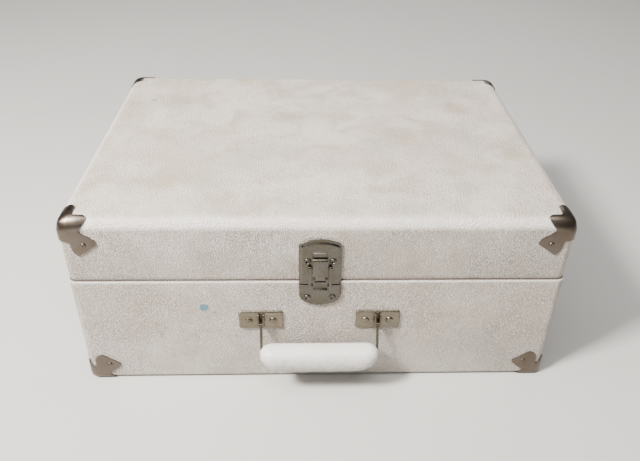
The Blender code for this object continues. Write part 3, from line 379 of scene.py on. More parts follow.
def rounded_corner(before, corner, after, radius, steps):
    corner = Vector(corner)
    before, after = Vector(before) - corner, Vector(after) - corner
    back = min(radius / tan(before.angle(after) / 2), before.length * 0.45, after.length * 0.45)
    return bend(corner + before.normalized() * back, corner, corner + after.normalized() * back, steps)


def rounded_profile(points, radius, steps=3):
    """A polyline whose inner corners are rounded."""
    made = [points[0]]
    for before, corner, after in zip(points, points[1:], points[2:]):
        made += rounded_corner(before, corner, after, radius, steps)
    return made + [points[-1]]


def rounded_outline(points, radius, steps=4):
    """A closed outline with its corners rounded. Radius is one number, or one for each corner."""
    radii = radius if isinstance(radius, (list, tuple)) else [radius] * len(points)
    made = []
    for i, corner in enumerate(points):
        made += rounded_corner(points[i - 1], corner, points[(i + 1) % len(points)], radii[i], steps)
    return made


def oblong(half_x, half_y, radii, centre=(0, 0)):
    """A rectangle's outline as a function of how far it is moved in. Radii start at its lower left."""
    def outline(inset):
        x, y = half_x - inset, half_y - inset
        corners = [(centre[0] + sx * x, centre[1] + sy * y)
                   for sx, sy in ((-1, -1), (1, -1), (1, 1), (-1, 1))]
        return rounded_outline(corners, [max(r - inset, 0.0003) for r in radii], 5)
    return outline


def anticlockwise(outline):
    area = sum(a[0] * b[1] - b[0] * a[1] for a, b in zip(outline, outline[1:] + outline[:1]))
    return outline if area > 0 else list(reversed(outline))


def stamped(outline, levels):
    """A stamped plate on XY: outline gives its edge moved in by an inset, and levels are (inset, height)."""
    return loft([[(x, y, height) for x, y in outline(inset)] for inset, height in levels])


def tube(route, radius, segments=16):
    """A round bar along a route of points."""
    rings = []
    route = [Vector(p) for p in route]
    side = None
    for i, point in enumerate(route):
        ahead = (route[min(i + 1, len(route) - 1)] - route[max(i - 1, 0)]).normalized()
        if side is None:
            side = ahead.orthogonal().normalized()
        side = (side - ahead * side.dot(ahead)).normalized()
        other = ahead.cross(side)
        rings.append([point + (side * cos(2 * pi * k / segments)
                               + other * sin(2 * pi * k / segments)) * radius
                      for k in range(segments)])
    return loft(rings)


def box_mesh(low, high, bevel=0.0, segments=2):
    low, high = Vector(low), Vector(high)
    bm = bmesh.new()
    bmesh.ops.create_cube(bm, size=1)
    bmesh.ops.scale(bm, vec=high - low, verts=bm.verts)
    bmesh.ops.translate(bm, vec=(low + high) / 2, verts=bm.verts)
    if bevel:
        bmesh.ops.bevel(bm, geom=list(bm.edges), offset=bevel, segments=segments, affect="EDGES",
                        profile=0.5)
    return bm


def at(place, angle, axis):
    return Matrix.Translation(place) @ Matrix.Rotation(angle, 4, axis)


def moved(bm, matrix):
    bmesh.ops.transform(bm, matrix=matrix, verts=bm.verts)
    if matrix.determinant() < 0:
        bmesh.ops.reverse_faces(bm, faces=bm.faces)
    return bm


def merged(*parts):
    """One bmesh of several."""
    whole = bmesh.new()
    for part in parts:
        mesh = mesh_from(part, "part")
        whole.from_mesh(mesh)
        bpy.data.meshes.remove(mesh)
    return whole


def facing_front(x, out, z):
    """Stands a piece that was made on XY upright on the front face, its +Z outwards."""
    turn = Matrix(((1, 0, 0, 0), (0, 0, -1, 0), (0, 1, 0, 0), (0, 0, 0, 1)))
    return Matrix.Translation((x, FRONT - out, z)) @ turn


def carve(target, cutter_bm, operation="DIFFERENCE"):
    """Cuts a piece with a bmesh, and applies the cut."""
    cutter = link_object("cutter", mesh_from(cutter_bm, "cutter"))
    modifier = target.modifiers.new("cut", "BOOLEAN")
    modifier.object = cutter
    modifier.operation = operation
    apply_modifiers(target)
    bpy.data.objects.remove(cutter, do_unlink=True)


def apply_modifiers(piece):
    graph = bpy.context.evaluated_depsgraph_get()
    mesh = bpy.data.meshes.new_from_object(piece.evaluated_get(graph))
    old = piece.data
    piece.modifiers.clear()
    piece.data = mesh
    bpy.data.meshes.remove(old)


# ---------------------------------------------------------------- materials

def leatherette(name):
    """Off-white vinyl leatherette: a fine pebble grain, cream and grey mottling, brown spotting and grime,
    with the grain's light and shade painted in and painted shade on the upright faces.
    """
    skin = Shading(name, (0.70, 0.66, 0.61), 0.5)
    broad = skin.range(skin.noise(8, 3, 0.55), 0.36, 0.64)
    cream = skin.mix(broad, (0.820, 0.775, 0.720), (0.690, 0.610, 0.520))
    for scale, detail, rough, bent, offset, low, high, strength, colour in (
        (30, 4, 0.6, 0.6, (0, 0, 0), 0.44, 0.68, 0.85, (0.52, 0.435, 0.325)),
        (15, 5, 0.6, 0.3, (3, 1, 2), 0.50, 0.68, 0.75, (0.545, 0.555, 0.52)),
        (20, 3, 0.5, 0.5, (9, 4, 6), 0.52, 0.66, 0.55, (0.720, 0.590, 0.545)),
    ):
        blotch = skin.range(skin.noise(scale, detail, rough, bent, offset=offset), low, high)
        cream = skin.stain(cream, blotch, strength, colour)
    patches = skin.range(skin.noise(16, 3, 0.6, offset=(7, 2, 9)), 0.40, 0.60)
    spots = skin.range(skin.noise(380, 2, 0.7, offset=(1, 5, 2)), 0.60, 0.70)
    cream = skin.stain(cream, skin.times(spots, patches), 0.8, (0.34, 0.24, 0.17))
    pebble = skin.range(skin.cells(520, 0.0014, 240), 0.0, 0.26)
    # In patches, the upright faces get stronger pale specks, dark mottling and dark grain creases than the
    # level ones: partly dirt, and partly the grain's light and shade painted in.
    level = skin.range(skin.math("ABSOLUTE", skin.normal_axis("Z")), 0.35, 0.85, 1.0, 0.36)
    dirt_and_shade = skin.times(skin.range(patches, 0, 1, 0.55, 1.0), level)
    speck = skin.range(skin.noise(620, 2, 0.6, offset=(8, 1, 3)), 0.42, 0.62)
    cream = skin.stain(cream, speck, skin.times(dirt_and_shade, 0.6), (0.95, 0.92, 0.89))
    mottle = skin.range(skin.noise(330, 3, 0.75, 0.4, offset=(4, 8, 1)), 0.44, 0.62)
    cream = skin.stain(cream, mottle, skin.times(dirt_and_shade, 0.72), (0.50, 0.44, 0.38))
    # The dark creases between the grain's pebbles are grime and painted shade.
    crease = skin.range(pebble, 0.75, 0.0)
    cream = skin.stain(cream, crease, skin.times(dirt_and_shade, 0.75), (0.25, 0.21, 0.18))
    # Painted shade: the upright faces are darkened overall against the level ones.
    cream = skin.mix(skin.range(level, 0.4, 1.0), cream, (0.86, 0.865, 0.87), "MULTIPLY")
    return skin, cream, pebble


def finish_leatherette(skin, cream, pebble):
    skin.colour(cream)
    skin.rough(skin.range(skin.noise(60, 4), 0.3, 0.7, 0.40, 0.56))
    fine = skin.noise(1500, 2, 0.6)
    skin.bump((skin.noise(45, 3, 0.5), 0.3, 0.0007), (pebble, 1.0, 0.00055), (fine, 0.3, 0.0001))
    return skin.material


def stained(skin, cream, stains):
    """Adds small marks, each (place, radius, strength, colour), with ragged edges."""
    for place, radius, strength, colour in stains:
        mark = skin.near(place, radius, 0.5, radius * 0.4)
        cream = skin.stain(cream, mark, strength, colour)
    return cream


def base_leatherette():
    skin, cream, pebble = leatherette("leatherette_base")
    low = skin.times(skin.range(skin.axis("Z"), 0.002, 0.050, 1, 0),
                    skin.range(skin.noise(22, 4, 0.6, offset=(2, 2, 2)), 0.35, 0.62))
    cream = skin.stain(cream, low, 0.6, (0.56, 0.57, 0.50))
    dark = (0.22, 0.20, 0.19)
    cream = stained(skin, cream, (
        ((-0.0886, FRONT, 0.0771), 0.0016, 0.75, dark), ((-0.104, FRONT, 0.087), 0.0014, 0.3, dark),
        ((0.060, FRONT, 0.024), 0.0016, 0.45, dark), ((0.148, FRONT, 0.052), 0.0013, 0.35, dark),
        ((-0.128, FRONT, 0.103), 0.0030, 0.3, (0.45, 0.36, 0.30)),
    ))
    blue = skin.near((-0.0970, FRONT, 0.0827), 0.0038, 0.16, 0.0005)
    cream = skin.stain(cream, blue, 0.95, (0.09, 0.24, 0.30))
    # The rolled rim under the seam is made pale: partly wear, and partly a painted highlight where it catches
    # light from above.
    rim_wear_and_highlight = skin.range(skin.axis("Z"), SEAM - 0.0030, SEAM - 0.0014, 0, 0.85)
    cream = skin.mix(rim_wear_and_highlight, cream, (0.98, 0.93, 0.88))
    # Painted shade: a dark line just below the top of the rim, for the shadowed gap of the seam.
    cream = skin.mix(skin.range(skin.axis("Z"), SEAM - 0.0008, SEAM - 0.0004, 0, 0.95), cream,
                     (0.16, 0.13, 0.11))
    return finish_leatherette(skin, cream, pebble)


def lid_leatherette():
    skin, cream, pebble = leatherette("leatherette_lid")
    top = lid_high.z
    cream = stained(skin, cream, (
        ((-0.1694, MIDDLE_Y + 0.0785, top), 0.0030, 0.6, (0.30, 0.27, 0.25)),
        ((-0.060, MIDDLE_Y - 0.020, top), 0.0022, 0.3, (0.35, 0.30, 0.27)),
        ((0.030, MIDDLE_Y - 0.110, top), 0.0030, 0.3, (0.42, 0.34, 0.28)),
    ))
    scratch = skin.within(skin.distance((-0.1435, MIDDLE_Y + 0.110, top)), 0.0405, 0.0002, 0.0008)
    scratch = skin.times(scratch, skin.near((-0.1435, MIDDLE_Y + 0.0695, top), 0.016, 0.4))
    cream = skin.stain(cream, scratch, 0.6, (0.36, 0.32, 0.28))
    # The rounded top edge is made pale, partly rubbed wear and partly a painted highlight, and painted shade
    # darkens the lid along the mouth, where it meets the base at the seam.
    edge = skin.times(skin.range(skin.axis("Z"), top - 0.0115, top - 0.0070),
                     skin.range(skin.axis("Z"), top - 0.0030, top - 0.0004, 1, 0))
    cream = skin.stain(cream, edge, 0.85, (0.95, 0.92, 0.885))
    # Painted shade: a soft band and then a dark line along the mouth, for the shadowed seam.
    for height, strength in ((0.0040, 0.40), (0.0013, 0.92)):
        mouth = skin.range(skin.axis("Z"), lid_low.z + height / 3, lid_low.z + height, strength, 0)
        cream = skin.mix(mouth, cream, (0.17, 0.14, 0.12))
    return finish_leatherette(skin, cream, pebble)


def nickel(name, roughness, colour):
    """Aged satin nickel: warm grey, with faint tarnish, fine rubbing marks and a few dark spots."""
    metal = Shading(name, colour, roughness, 1.0)
    tarnish = metal.range(metal.noise(90, 4, 0.6), 0.40, 0.72)
    tint = metal.mix(tarnish, colour, tuple(c * f for c, f in zip(colour, (0.86, 0.80, 0.70))))
    spots = metal.range(metal.noise(900, 2, 0.6, offset=(4, 4, 4)), 0.66, 0.76)
    tint = metal.stain(tint, spots, 0.5, (0.16, 0.13, 0.10))
    metal.colour(tint)
    rubbed = metal.noise(260, 3, 0.6, stretch=(1, 1, 5))
    metal.rough(metal.range(rubbed, 0.3, 0.7, roughness - 0.06, roughness + 0.10))
    metal.bump((metal.noise(160, 2), 0.12, 0.0002), (rubbed, 0.05, 0.00005))
    return metal.material


# ---------------------------------------------------------------- case covering

def case_rings(half_x, half_y, steps):
    """Rings for (inset, height, corner radius) steps round the case's middle."""
    return [[(x, y + MIDDLE_Y, height) for x, y in rounded_rectangle(half_x - inset, half_y - inset, radius)]
            for inset, height, radius in steps]


def quarter(radius, steps):
    """(inset, rise) pairs of a rounded edge, from the side face to the level face."""
    return [(radius * (1 - cos(pi / 2 * i / steps)), radius * sin(pi / 2 * i / steps))
            for i in range(steps + 1)]


def upright_radius(inset):
    return max(UPRIGHT_EDGE_RADIUS - inset * 0.85, 0.0012)


def build_covering(body, material, inside, mouth, rim, closed, edge):
    """From the mouth inside the rim, over it, along the sides and over the edge to the closed face.

    Inside is a list of (inset, height); rim and edge are each a radius and a number of steps."""
    low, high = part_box(f"{body}_covering")
    away = copysign(1, closed - mouth)
    steps = list(inside)
    steps += [(inset, mouth + away * (rim[0] - rise)) for inset, rise in reversed(quarter(*rim))]
    steps += [(inset, closed - away * (edge[0] - rise)) for inset, rise in quarter(*edge)]
    rings = case_rings(high.x, (high.y - low.y) / 2,
                       [(inset, height, upright_radius(inset)) for inset, height in steps])
    add_piece(f"case_{body}_covering", loft(rings, close_start=False), material, body, 50, f"{body}_covering")


def build_coverings():
    inner = COVERING + GAP + BASE_BOARD
    build_covering("base", base_leatherette(),
                   ((inner, SEAM - COVERING), (inner, SEAM - 0.0004), (inner - 0.0004, SEAM)),
                   SEAM, (RIM_ROUND, 5), base_low.z, (BOTTOM_EDGE_RADIUS, 6))
    inner = COVERING + GAP + LID_BOARD
    build_covering("lid", lid_leatherette(), ((inner, lid_low.z + COVERING), (inner, lid_low.z)),
                   lid_low.z, (0.0007, 3), lid_high.z, (TOP_EDGE_RADIUS, 10))


# ---------------------------------------------------------------- corner protectors

SHEET = 0.0008
SHEET_GAP = 0.0002
CORNER_REACH = 0.045
WING_DEPTH = 0.0072
LOBE_DEPTH = 0.0126
LID_INSET = base_high.x - lid_high.x
# Outlines of the protectors on the front face, as (inward, away from the level edge), with corner radii
LID_FRONT_OUTLINE = (
    ((-0.003, -0.003), 0.0001), ((0.0240, -0.003), 0.0001), ((0.0238, 0.0020), 0.0012),
    ((0.0172, 0.0110), 0.0012), ((0.0282, 0.0194), 0.0020), ((0.0300, 0.0232), 0.0016),
    ((0.0142, 0.0346), 0.0026), ((0.0105, 0.0305), 0.0026), ((0.0084, 0.0202), 0.0008),
    ((-0.003, 0.0202), 0.0001),
)
BASE_FRONT_OUTLINE = (
    ((-0.003, -0.003), 0.0001), ((0.0222, -0.003), 0.0001), ((0.0222, 0.0010), 0.0006),
    ((0.0180, 0.0052), 0.0010), ((0.0290, 0.0148), 0.0020), ((0.0296, 0.0176), 0.0016),
    ((0.0152, 0.0280), 0.0018), ((0.0108, 0.0264), 0.0014), ((0.0078, 0.0232), 0.0014),
    ((0.0075, 0.0136), 0.0006), ((0.0046, 0.0144), 0.0010), ((0.0026, 0.0178), 0.0010),
    ((0.0018, 0.0214), 0.0002), ((-0.003, 0.0214), 0.0001),
)
# The same protectors seen from above or below, as (inward from the side, inward from the front)
LEVEL_OUTLINE = (
    ((-0.003, -0.003), 0.0001), ((0.0260, -0.003), 0.0001), ((0.0238, 0.0046), 0.0024),
    ((0.0218, 0.0066), 0.0022), ((0.0132, 0.0070), 0.0012), ((0.0130, 0.0174), 0.0036),
    ((0.0086, 0.0206), 0.0040), ((-0.003, 0.0206), 0.0001),
)
BASE_WRAP = 0.0023
LID_NAIL = (0.0192, 0.0236)
BASE_NAIL = (0.0196, 0.0170)


def rounded_points(outline, steps=4):
    return rounded_outline([p for p, r in outline], [r for p, r in outline], steps)


def prism(outline, near, far, axis):
    """A prism of an outline. On Y the outline is (x, z), on X it is (y, z), and on Z it is (x, y)."""
    places = {"X": lambda u, v, w: (w, u, v), "Y": lambda u, v, w: (u, w, v), "Z": lambda u, v, w: (u, v, w)}
    place = places[axis]
    return loft([[place(u, v, w) for u, v in outline] for w in (near, far)])


def from_side(profile, near, far):
    """A piece on the front face, drawn from the side as (out, height) points, between two places on X."""
    near, far = sorted((near, far))
    return prism(anticlockwise([(FRONT - out, z) for out, z in profile]), near, far, "X")


def corner_solid(stand_off, level_radius, upright_radius):
    """One corner of the case, inward along +X, +Y and +Z, standing off from its faces."""
    size = CORNER_REACH + stand_off
    bm = bmesh.new()
    bmesh.ops.create_cube(bm, size=size)
    bmesh.ops.translate(bm, vec=Vector((1, 1, 1)) * (size / 2 - stand_off), verts=bm.verts)
    level, upright = level_radius + stand_off, upright_radius + stand_off
    weight = bm.edges.layers.float.new("bevel_weight_edge")
    for edge in bm.edges:
        low = [all(v.co[i] < 0.001 for v in edge.verts) for i in range(3)]
        if sum(low) == 2:
            edge[weight] = (level if low[2] else upright) / max(level, upright)
    solid = link_object("corner_solid", mesh_from(bm, "corner_solid"))
    rounding = solid.modifiers.new("rounding", "BEVEL")
    rounding.limit_method = "WEIGHT"
    rounding.width = max(level, upright)
    rounding.segments = 10
    apply_modifiers(solid)
    return solid


def bmesh_of(mesh):
    bm = bmesh.new()
    bm.from_mesh(mesh)
    return bm


def soften(piece, width, segments=2, angle=40, sharp=40):
    """Rounds a piece's sharp edges a little, and shades it again."""
    rounding = piece.modifiers.new("rounding", "BEVEL")
    rounding.width = width
    rounding.segments = segments
    rounding.limit_method = "ANGLE"
    rounding.angle_limit = radians(angle)
    apply_modifiers(piece)
    reshade(piece, sharp)


def reshade(piece, sharp=40):
    piece.data.shade_smooth()
    piece.data.set_sharp_from_angle(angle=radians(sharp))


def corner_pattern(outline, depths, level_radius, inset):
    front = rounded_points(outline)
    upright = UPRIGHT_EDGE_RADIUS - inset
    sheet = corner_solid(SHEET + SHEET_GAP, level_radius, upright)
    mask = link_object("mask", mesh_from(prism(front, -0.003, depths[0], "Y"), "mask"))
    side = [(u * 0.98, v * 1.005) for u, v in front]
    carve(mask, prism(side, -0.0031, depths[1], "X"), "UNION")
    if depths[1] < LOBE_DEPTH:
        carve(mask, box_mesh((-0.0032, -0.0032, -0.0032), (0.0215, 0.0215, 0.0012)), "UNION")
    level = prism(rounded_points(LEVEL_OUTLINE), -0.004, 0.0052, "Z")
    shape = link_object("shape", mesh_from(level, "shape"))
    carve(shape, box_mesh((-0.004, -0.004, 0.0048), (0.05, 0.05, 0.05)), "UNION")
    carve(mask, bmesh_of(shape.data), "INTERSECT")
    carve(sheet, bmesh_of(mask.data), "INTERSECT")
    core = corner_solid(SHEET_GAP, level_radius, upright)
    carve(sheet, bmesh_of(core.data))
    soften(sheet, 0.00028)
    mesh = sheet.data.copy()
    for helper in (sheet, mask, shape, core):
        bpy.data.objects.remove(helper, do_unlink=True)
    return mesh


def nail_profile(radius=0.0023, height=0.0012):
    return [(radius, 0), (radius, height * 0.3), (radius * 0.86, height * 0.7), (radius * 0.6, height),
            (radius * 0.34, height * 0.94), (radius * 0.22, height * 0.7), (0, height * 0.6)]


def build_corners(metal):
    halves = (
        ("lid", LID_FRONT_OUTLINE, (WING_DEPTH, LOBE_DEPTH), TOP_EDGE_RADIUS, lid_high.z, LID_INSET, -1,
         LID_NAIL),
        ("base", BASE_FRONT_OUTLINE, (BASE_WRAP, BASE_WRAP), BOTTOM_EDGE_RADIUS, base_low.z, 0.0, 1,
         BASE_NAIL),
    )
    out = SHEET + SHEET_GAP
    for half, outline, depths, radius, height, inset, upward, nail in halves:
        pattern = corner_pattern(outline, depths, radius, inset)
        u, v = nail
        front_nail = at((u, -out, v), pi / 2, "X")
        side_nail = at((-out, u * 0.98, v), -pi / 2, "Y")
        for y_name, y_sign in (("front", -1), ("back", 1)):
            for x_name, x_sign in SIDES:
                place = Matrix.Translation((x_sign * (base_high.x - inset),
                                            MIDDLE_Y + y_sign * (base_high.y - MIDDLE_Y - inset), height))
                place = place @ Matrix.Diagonal((-x_sign, -y_sign, upward, 1))
                label = f"corner_{half}_{y_name}_{x_name}"
                add_piece(f"{label}_sheet", moved(bmesh_of(pattern), place), metal, half, 40, label)
                nails = merged(moved(lathe(nail_profile(), 20), place @ front_nail),
                               moved(lathe(nail_profile(), 20), place @ side_nail))
                add_piece(f"{label}_nails", nails, metal, half, 50)


# ---------------------------------------------------------------- draw latch

PLATE_HALF_WIDTH = 0.0173
STRIKE_LOW = 0.1080
STRIKE_SHOULDER = 0.1480
STRIKE_TOP = 0.1526
LATCH_LOW = 0.0863
LATCH_SHOULDER = 0.0925
CHEEK_INNER = 0.0071
CHEEK_OUTER = 0.0095
LEVER_HALF_WIDTH = 0.0060
LEVER_PIVOT_HEIGHT = 0.1250
PIVOT_OUT = 0.0034
STRAP_HALF_WIDTH = 0.0041
STRAP_LOW = 0.1148
NOTCH_LOW = 0.1139
HOOK_LOW = 0.1191
HOOK_ROLL = (0.0038, 0.1341)
# Rivets, as (distance from the middle, height)
STRIKE_RIVET = (0.0102, 0.1320)
BASE_RIVET = (0.0105, 0.0945)


def arched(half_width, flat, shoulder, peak, corner, steps=20):
    """The outline of a plate with one flat end and one arched, as a function of how far it is moved in."""
    rise = abs(peak - shoulder)
    radius = (half_width**2 + rise**2) / (2 * rise)
    up = 1 if peak > shoulder else -1
    middle = peak - up * radius

    def outline(inset):
        width, reach, turn = half_width - inset, radius - inset, max(corner - inset, 0.0008)
        spread = degrees(asin((width - turn) / reach))
        arch = arc((0, middle), reach, up * (90 - spread), up * (90 + spread), steps)
        top = middle + up * sqrt(reach**2 - width**2)
        right = bend((width, top - up * turn), (width, top), arch[0], 6)
        left = bend(arch[-1], (-width, top), (-width, top - up * turn), 6)
        return anticlockwise(right + arch[1:-1] + left + [(-width, flat + up * inset),
                                                          (width, flat + up * inset)])
    return outline


def stepped(outer, inner, heights):
    """A stamped plate with a flange, from the outlines of its edge and of its raised face."""
    back, flange, face = heights
    rows = [(outer(0), back), (outer(0), flange - 0.0002), (outer(0.0002), flange), (inner(-0.0003), flange),
            (inner(0), flange + 0.0001), (inner(0.0005), (flange + face) / 2), (inner(0.0010), face - 0.0001),
            (inner(0.0014), face), (inner(0.0022), face)]
    return loft([[(x, y, w) for x, y in ring] for ring, w in rows])


def tubular_rivet(radius=0.0029, height=0.0011, bore=0.0014):
    """A set tubular rivet: a rolled rim round a hollow."""
    return [(radius, 0), (radius, height * 0.4), (radius * 0.9, height * 0.8), (radius * 0.76, height),
            (radius * 0.62, height * 0.92), (bore, height * 0.5), (bore * 0.9, -0.0004), (0, -0.0006)]


def build_latch(metal):
    outer = arched(PLATE_HALF_WIDTH, STRIKE_LOW, STRIKE_SHOULDER, STRIKE_TOP, 0.0030)
    inner = arched(PLATE_HALF_WIDTH - 0.0014, STRIKE_LOW, STRIKE_SHOULDER - 0.0016, STRIKE_TOP - 0.0026,
                   0.0026)
    strike = add_piece("latch_strike_plate", moved(stepped(outer, inner, (0.0003, 0.0008, 0.0018)),
                                                   facing_front(0, 0, 0)), metal, "lid", 40, "latch_strike")
    for side in (-1, 1):
        hole = lathe([(0, -0.001), (0.0017, -0.001), (0.0017, 0.003), (0, 0.003)], 20)
        carve(strike, moved(hole, facing_front(side * STRIKE_RIVET[0], 0, STRIKE_RIVET[1])))
    side = [(0.0010, 0.1366), (0.0032, 0.1366), (0.0033, 0.1372), (0.0031, 0.1400), (0.0010, 0.1412)]
    keeper = add_piece("latch_keeper", from_side(side, -0.0056, 0.0056), metal, "lid", 50)
    soften(keeper, 0.0003, 3, 25)

    outer = arched(PLATE_HALF_WIDTH, STRIKE_LOW - 0.0004, LATCH_SHOULDER, LATCH_LOW, 0.0055)
    lower = add_piece("latch_base_plate", moved(stamped(outer, ((0, GAP), (0, 0.0011), (0.0002, 0.0016),
                                                                (0.0006, 0.0019), (0.0012, 0.0019),
                                                                (0.0022, 0.0016), (0.0034, 0.0015))),
                                                facing_front(0, 0, 0)), metal, "base", 40, "latch_plate")
    profile = rounded_outline([(0.0008, 0.1000), (0.0048, 0.1012), (0.0048, 0.1268), (0.0040, 0.1278),
                               (0.0018, 0.1278), (0.0018, 0.1076), (0.0008, 0.1076)],
                              [0.0001, 0.0012, 0.0014, 0.0008, 0.0003, 0.0002, 0.0001], 4)
    for name, side in SIDES:
        cheek = from_side(profile, side * CHEEK_INNER, side * CHEEK_OUTER)
        piece = add_piece(f"latch_cheek_{name}", cheek, metal, "base", 35)
        soften(piece, 0.0003, 2, 35)
        hub = lathe([(0.0013, 0), (0.0013, 0.0003), (0.0009, 0.0005), (0, 0.0005)], 16)
        place = (side * CHEEK_OUTER, FRONT - PIVOT_OUT, LEVER_PIVOT_HEIGHT)
        hub = moved(hub, at(place, side * pi / 2, "Y"))
        add_piece(f"latch_pin_head_{name}", hub, metal, "base", 40)
    ridge = box_mesh((-0.0066, FRONT - 0.0026, 0.1064), (0.0066, FRONT - 0.0012, 0.1080), 0.0005, 3)
    add_piece("latch_stop", ridge, metal, "base", 50)

    face = [(0.0050, 0.1170), (0.0050, 0.1076), (0.0056, 0.1066), (0.0066, 0.1060), (0.0072, 0.1066),
            (0.0064, 0.1076), (0.0060, 0.1084), (0.0060, 0.1170)]
    lever = add_piece("latch_lever_face", from_side(face, -LEVER_HALF_WIDTH, LEVER_HALF_WIDTH), metal,
                      "latch_lever", 40, "latch_lever")
    ear = rounded_outline([(0.0020, 0.1264), (0.0048, 0.1264), (0.0048, 0.1178), (0.0054, 0.1168),
                           (0.0054, 0.1080), (0.0020, 0.1105)],
                          [0.0014, 0.0014, 0.0006, 0.0004, 0.0004, 0.0010], 5)
    for side in (-1, 1):
        carve(lever, from_side(ear, side * 0.0047, side * LEVER_HALF_WIDTH), "UNION")
    carve(lever, box_mesh((-STRAP_HALF_WIDTH - 0.0003, FRONT - 0.0070, NOTCH_LOW),
                          (STRAP_HALF_WIDTH + 0.0003, FRONT - 0.0040, 0.1200)))
    soften(lever, 0.00032, 3, 35)

    # The hook's sheet, rolled over at its top, as a strip drawn from the side
    sheet = [(0.0059, HOOK_LOW), *arc(HOOK_ROLL, 0.0021, 0, 240, 18), *arc(HOOK_ROLL, 0.0012, 240, 0, 14),
             (0.0050, HOOK_LOW)]
    hook = add_piece("latch_hook_face", from_side(sheet, -LEVER_HALF_WIDTH, LEVER_HALF_WIDTH), metal,
                     "latch_hook", 40, "latch_hook")
    strap = rounded_outline([(0.0044, HOOK_LOW + 0.0010), (0.0058, HOOK_LOW + 0.0010), (0.0058, STRAP_LOW),
                             (0.0044, STRAP_LOW)], [0.0001, 0.0001, 0.0004, 0.0002], 3)
    carve(hook, from_side(strap, -STRAP_HALF_WIDTH, STRAP_HALF_WIDTH), "UNION")
    soften(hook, 0.00030, 2, 50)

    for half, body, (offset, height), seat in (("upper", "lid", STRIKE_RIVET, 0.0018),
                                               ("lower", "base", BASE_RIVET, 0.0015)):
        for name, side in SIDES:
            rivet = moved(lathe(tubular_rivet(), 28), facing_front(side * offset, seat, height))
            add_piece(f"latch_rivet_{half}_{name}_head", rivet, metal, body, 60, f"latch_rivet_{half}_{name}")


# ---------------------------------------------------------------- handle

HANDLE_PLATE_X = 0.04975
HANDLE_PLATE_SIZE = (0.0375, 0.0192)
HANDLE_PLATE_HEIGHT = 0.0694
HANDLE_AXIS_HEIGHT = 0.0670
HANDLE_AXIS_OUT = 0.0050
HANDLE_SCREW_OFFSET = 0.0103
HANDLE_SCREW_HEIGHT = 0.0690
HANDLE_EAR_RADIUS = 0.0026
BAIL_X = 0.0497
BAIL_RADIUS = 0.0012
GRIP_HEIGHT = 0.0385
GRIP_OUT = 0.0150
GRIP_HALF_LENGTH = 0.0517


def build_handle_plates(metal, dark):
    outline = oblong(HANDLE_PLATE_SIZE[0] / 2, HANDLE_PLATE_SIZE[1] / 2, [0.0020] * 4)
    levels = ((0, 0.0003), (0, 0.0006), (0.0002, 0.0011), (0.0007, 0.0016), (0.0014, 0.0018),
              (0.0021, 0.0017), (0.0028, 0.0015), (0.0036, 0.0014))
    top, low = HANDLE_AXIS_HEIGHT + 0.0105, HANDLE_AXIS_HEIGHT
    shape = [(0.0010, top), (0.0046, top - 0.0002),
             *arc((HANDLE_AXIS_OUT, low), HANDLE_EAR_RADIUS, 0, -120, 10), (0.0010, low - 0.0020)]
    ear = rounded_outline(shape, [0.0002, 0.0016] + [0.0001] * 11 + [0.0004], 4)
    for name, side in SIDES:
        x = side * HANDLE_PLATE_X
        plate = moved(stamped(outline, levels), facing_front(x, 0, HANDLE_PLATE_HEIGHT))
        parts = [plate]
        for ear_side in (-1, 1):
            near, far = (side * BAIL_X + ear_side * offset for offset in (0.0015, 0.0028))
            parts.append(from_side(ear, near, far))
        piece = add_piece(f"handle_plate_{name}_stamping", merged(*parts), metal, "base", 32,
                          f"handle_plate_{name}")
        soften(piece, 0.00035, 3, 60)
        # A dark steel sheet on the plate between the ears: painted shade for the shadowed opening there.
        slot = box_mesh((side * BAIL_X - 0.0014, FRONT - 0.0021, HANDLE_AXIS_HEIGHT - 0.0012),
                        (side * BAIL_X + 0.0014, FRONT - 0.0016, HANDLE_AXIS_HEIGHT + 0.0098), 0.0004, 2)
        add_piece(f"handle_slot_shade_{name}", slot, dark, "base", 40)
        for screw_name, offset in (("left", -HANDLE_SCREW_OFFSET), ("right", HANDLE_SCREW_OFFSET)):
            head = lathe([(0, 0), (0.0032, 0), (0.0032, 0.0002), (0.0027, 0.0008), (0.0016, 0.0012),
                          (0, 0.0013)], 28)
            slot = box_mesh((-0.0034, -0.00028, 0.0007), (0.0034, 0.00028, 0.002))
            angle = radians(35 + 50 * (side > 0) + 20 * (offset > 0))
            label = f"handle_screw_{name}_{screw_name}"
            screw = add_piece(f"{label}_head", head, metal, "base", 40, label)
            carve(screw, moved(slot, Matrix.Rotation(angle, 4, "Z")))
            screw.data.transform(facing_front(x + offset, 0.0014, HANDLE_SCREW_HEIGHT))
            reshade(screw)


def build_bail(wire_metal):
    top = Vector((BAIL_X, FRONT - HANDLE_AXIS_OUT, HANDLE_AXIS_HEIGHT))
    corner = Vector((BAIL_X, FRONT - GRIP_OUT, GRIP_HEIGHT))
    down = (corner - top).normalized() * 0.005
    inward = Vector((-0.005, 0, 0))
    side = [top + (corner - down - top) * i / 5 for i in range(5)]
    for step in range(9):
        t = step / 8
        side.append((corner - down) * (1 - t) ** 2 + corner * 2 * t * (1 - t) + (corner + inward) * t**2)
    route = side + [Vector((-p.x, p.y, p.z)) for p in reversed(side)]
    parts = [tube(route, BAIL_RADIUS, 20)]
    for sign in (-1, 1):
        x = sign * BAIL_X
        for half, inner_half, radius, sides in ((0.0032, 0.0030, 0.0010, 16), (0.0013, 0.0010, 0.0019, 20)):
            line = [(x + offset, top.y, top.z) for offset in (-half, -inner_half, inner_half, half)]
            parts.append(tube(line, radius, sides))
    add_piece("handle_bail_wire", merged(*parts), wire_metal, "handle", 40, "handle_bail")


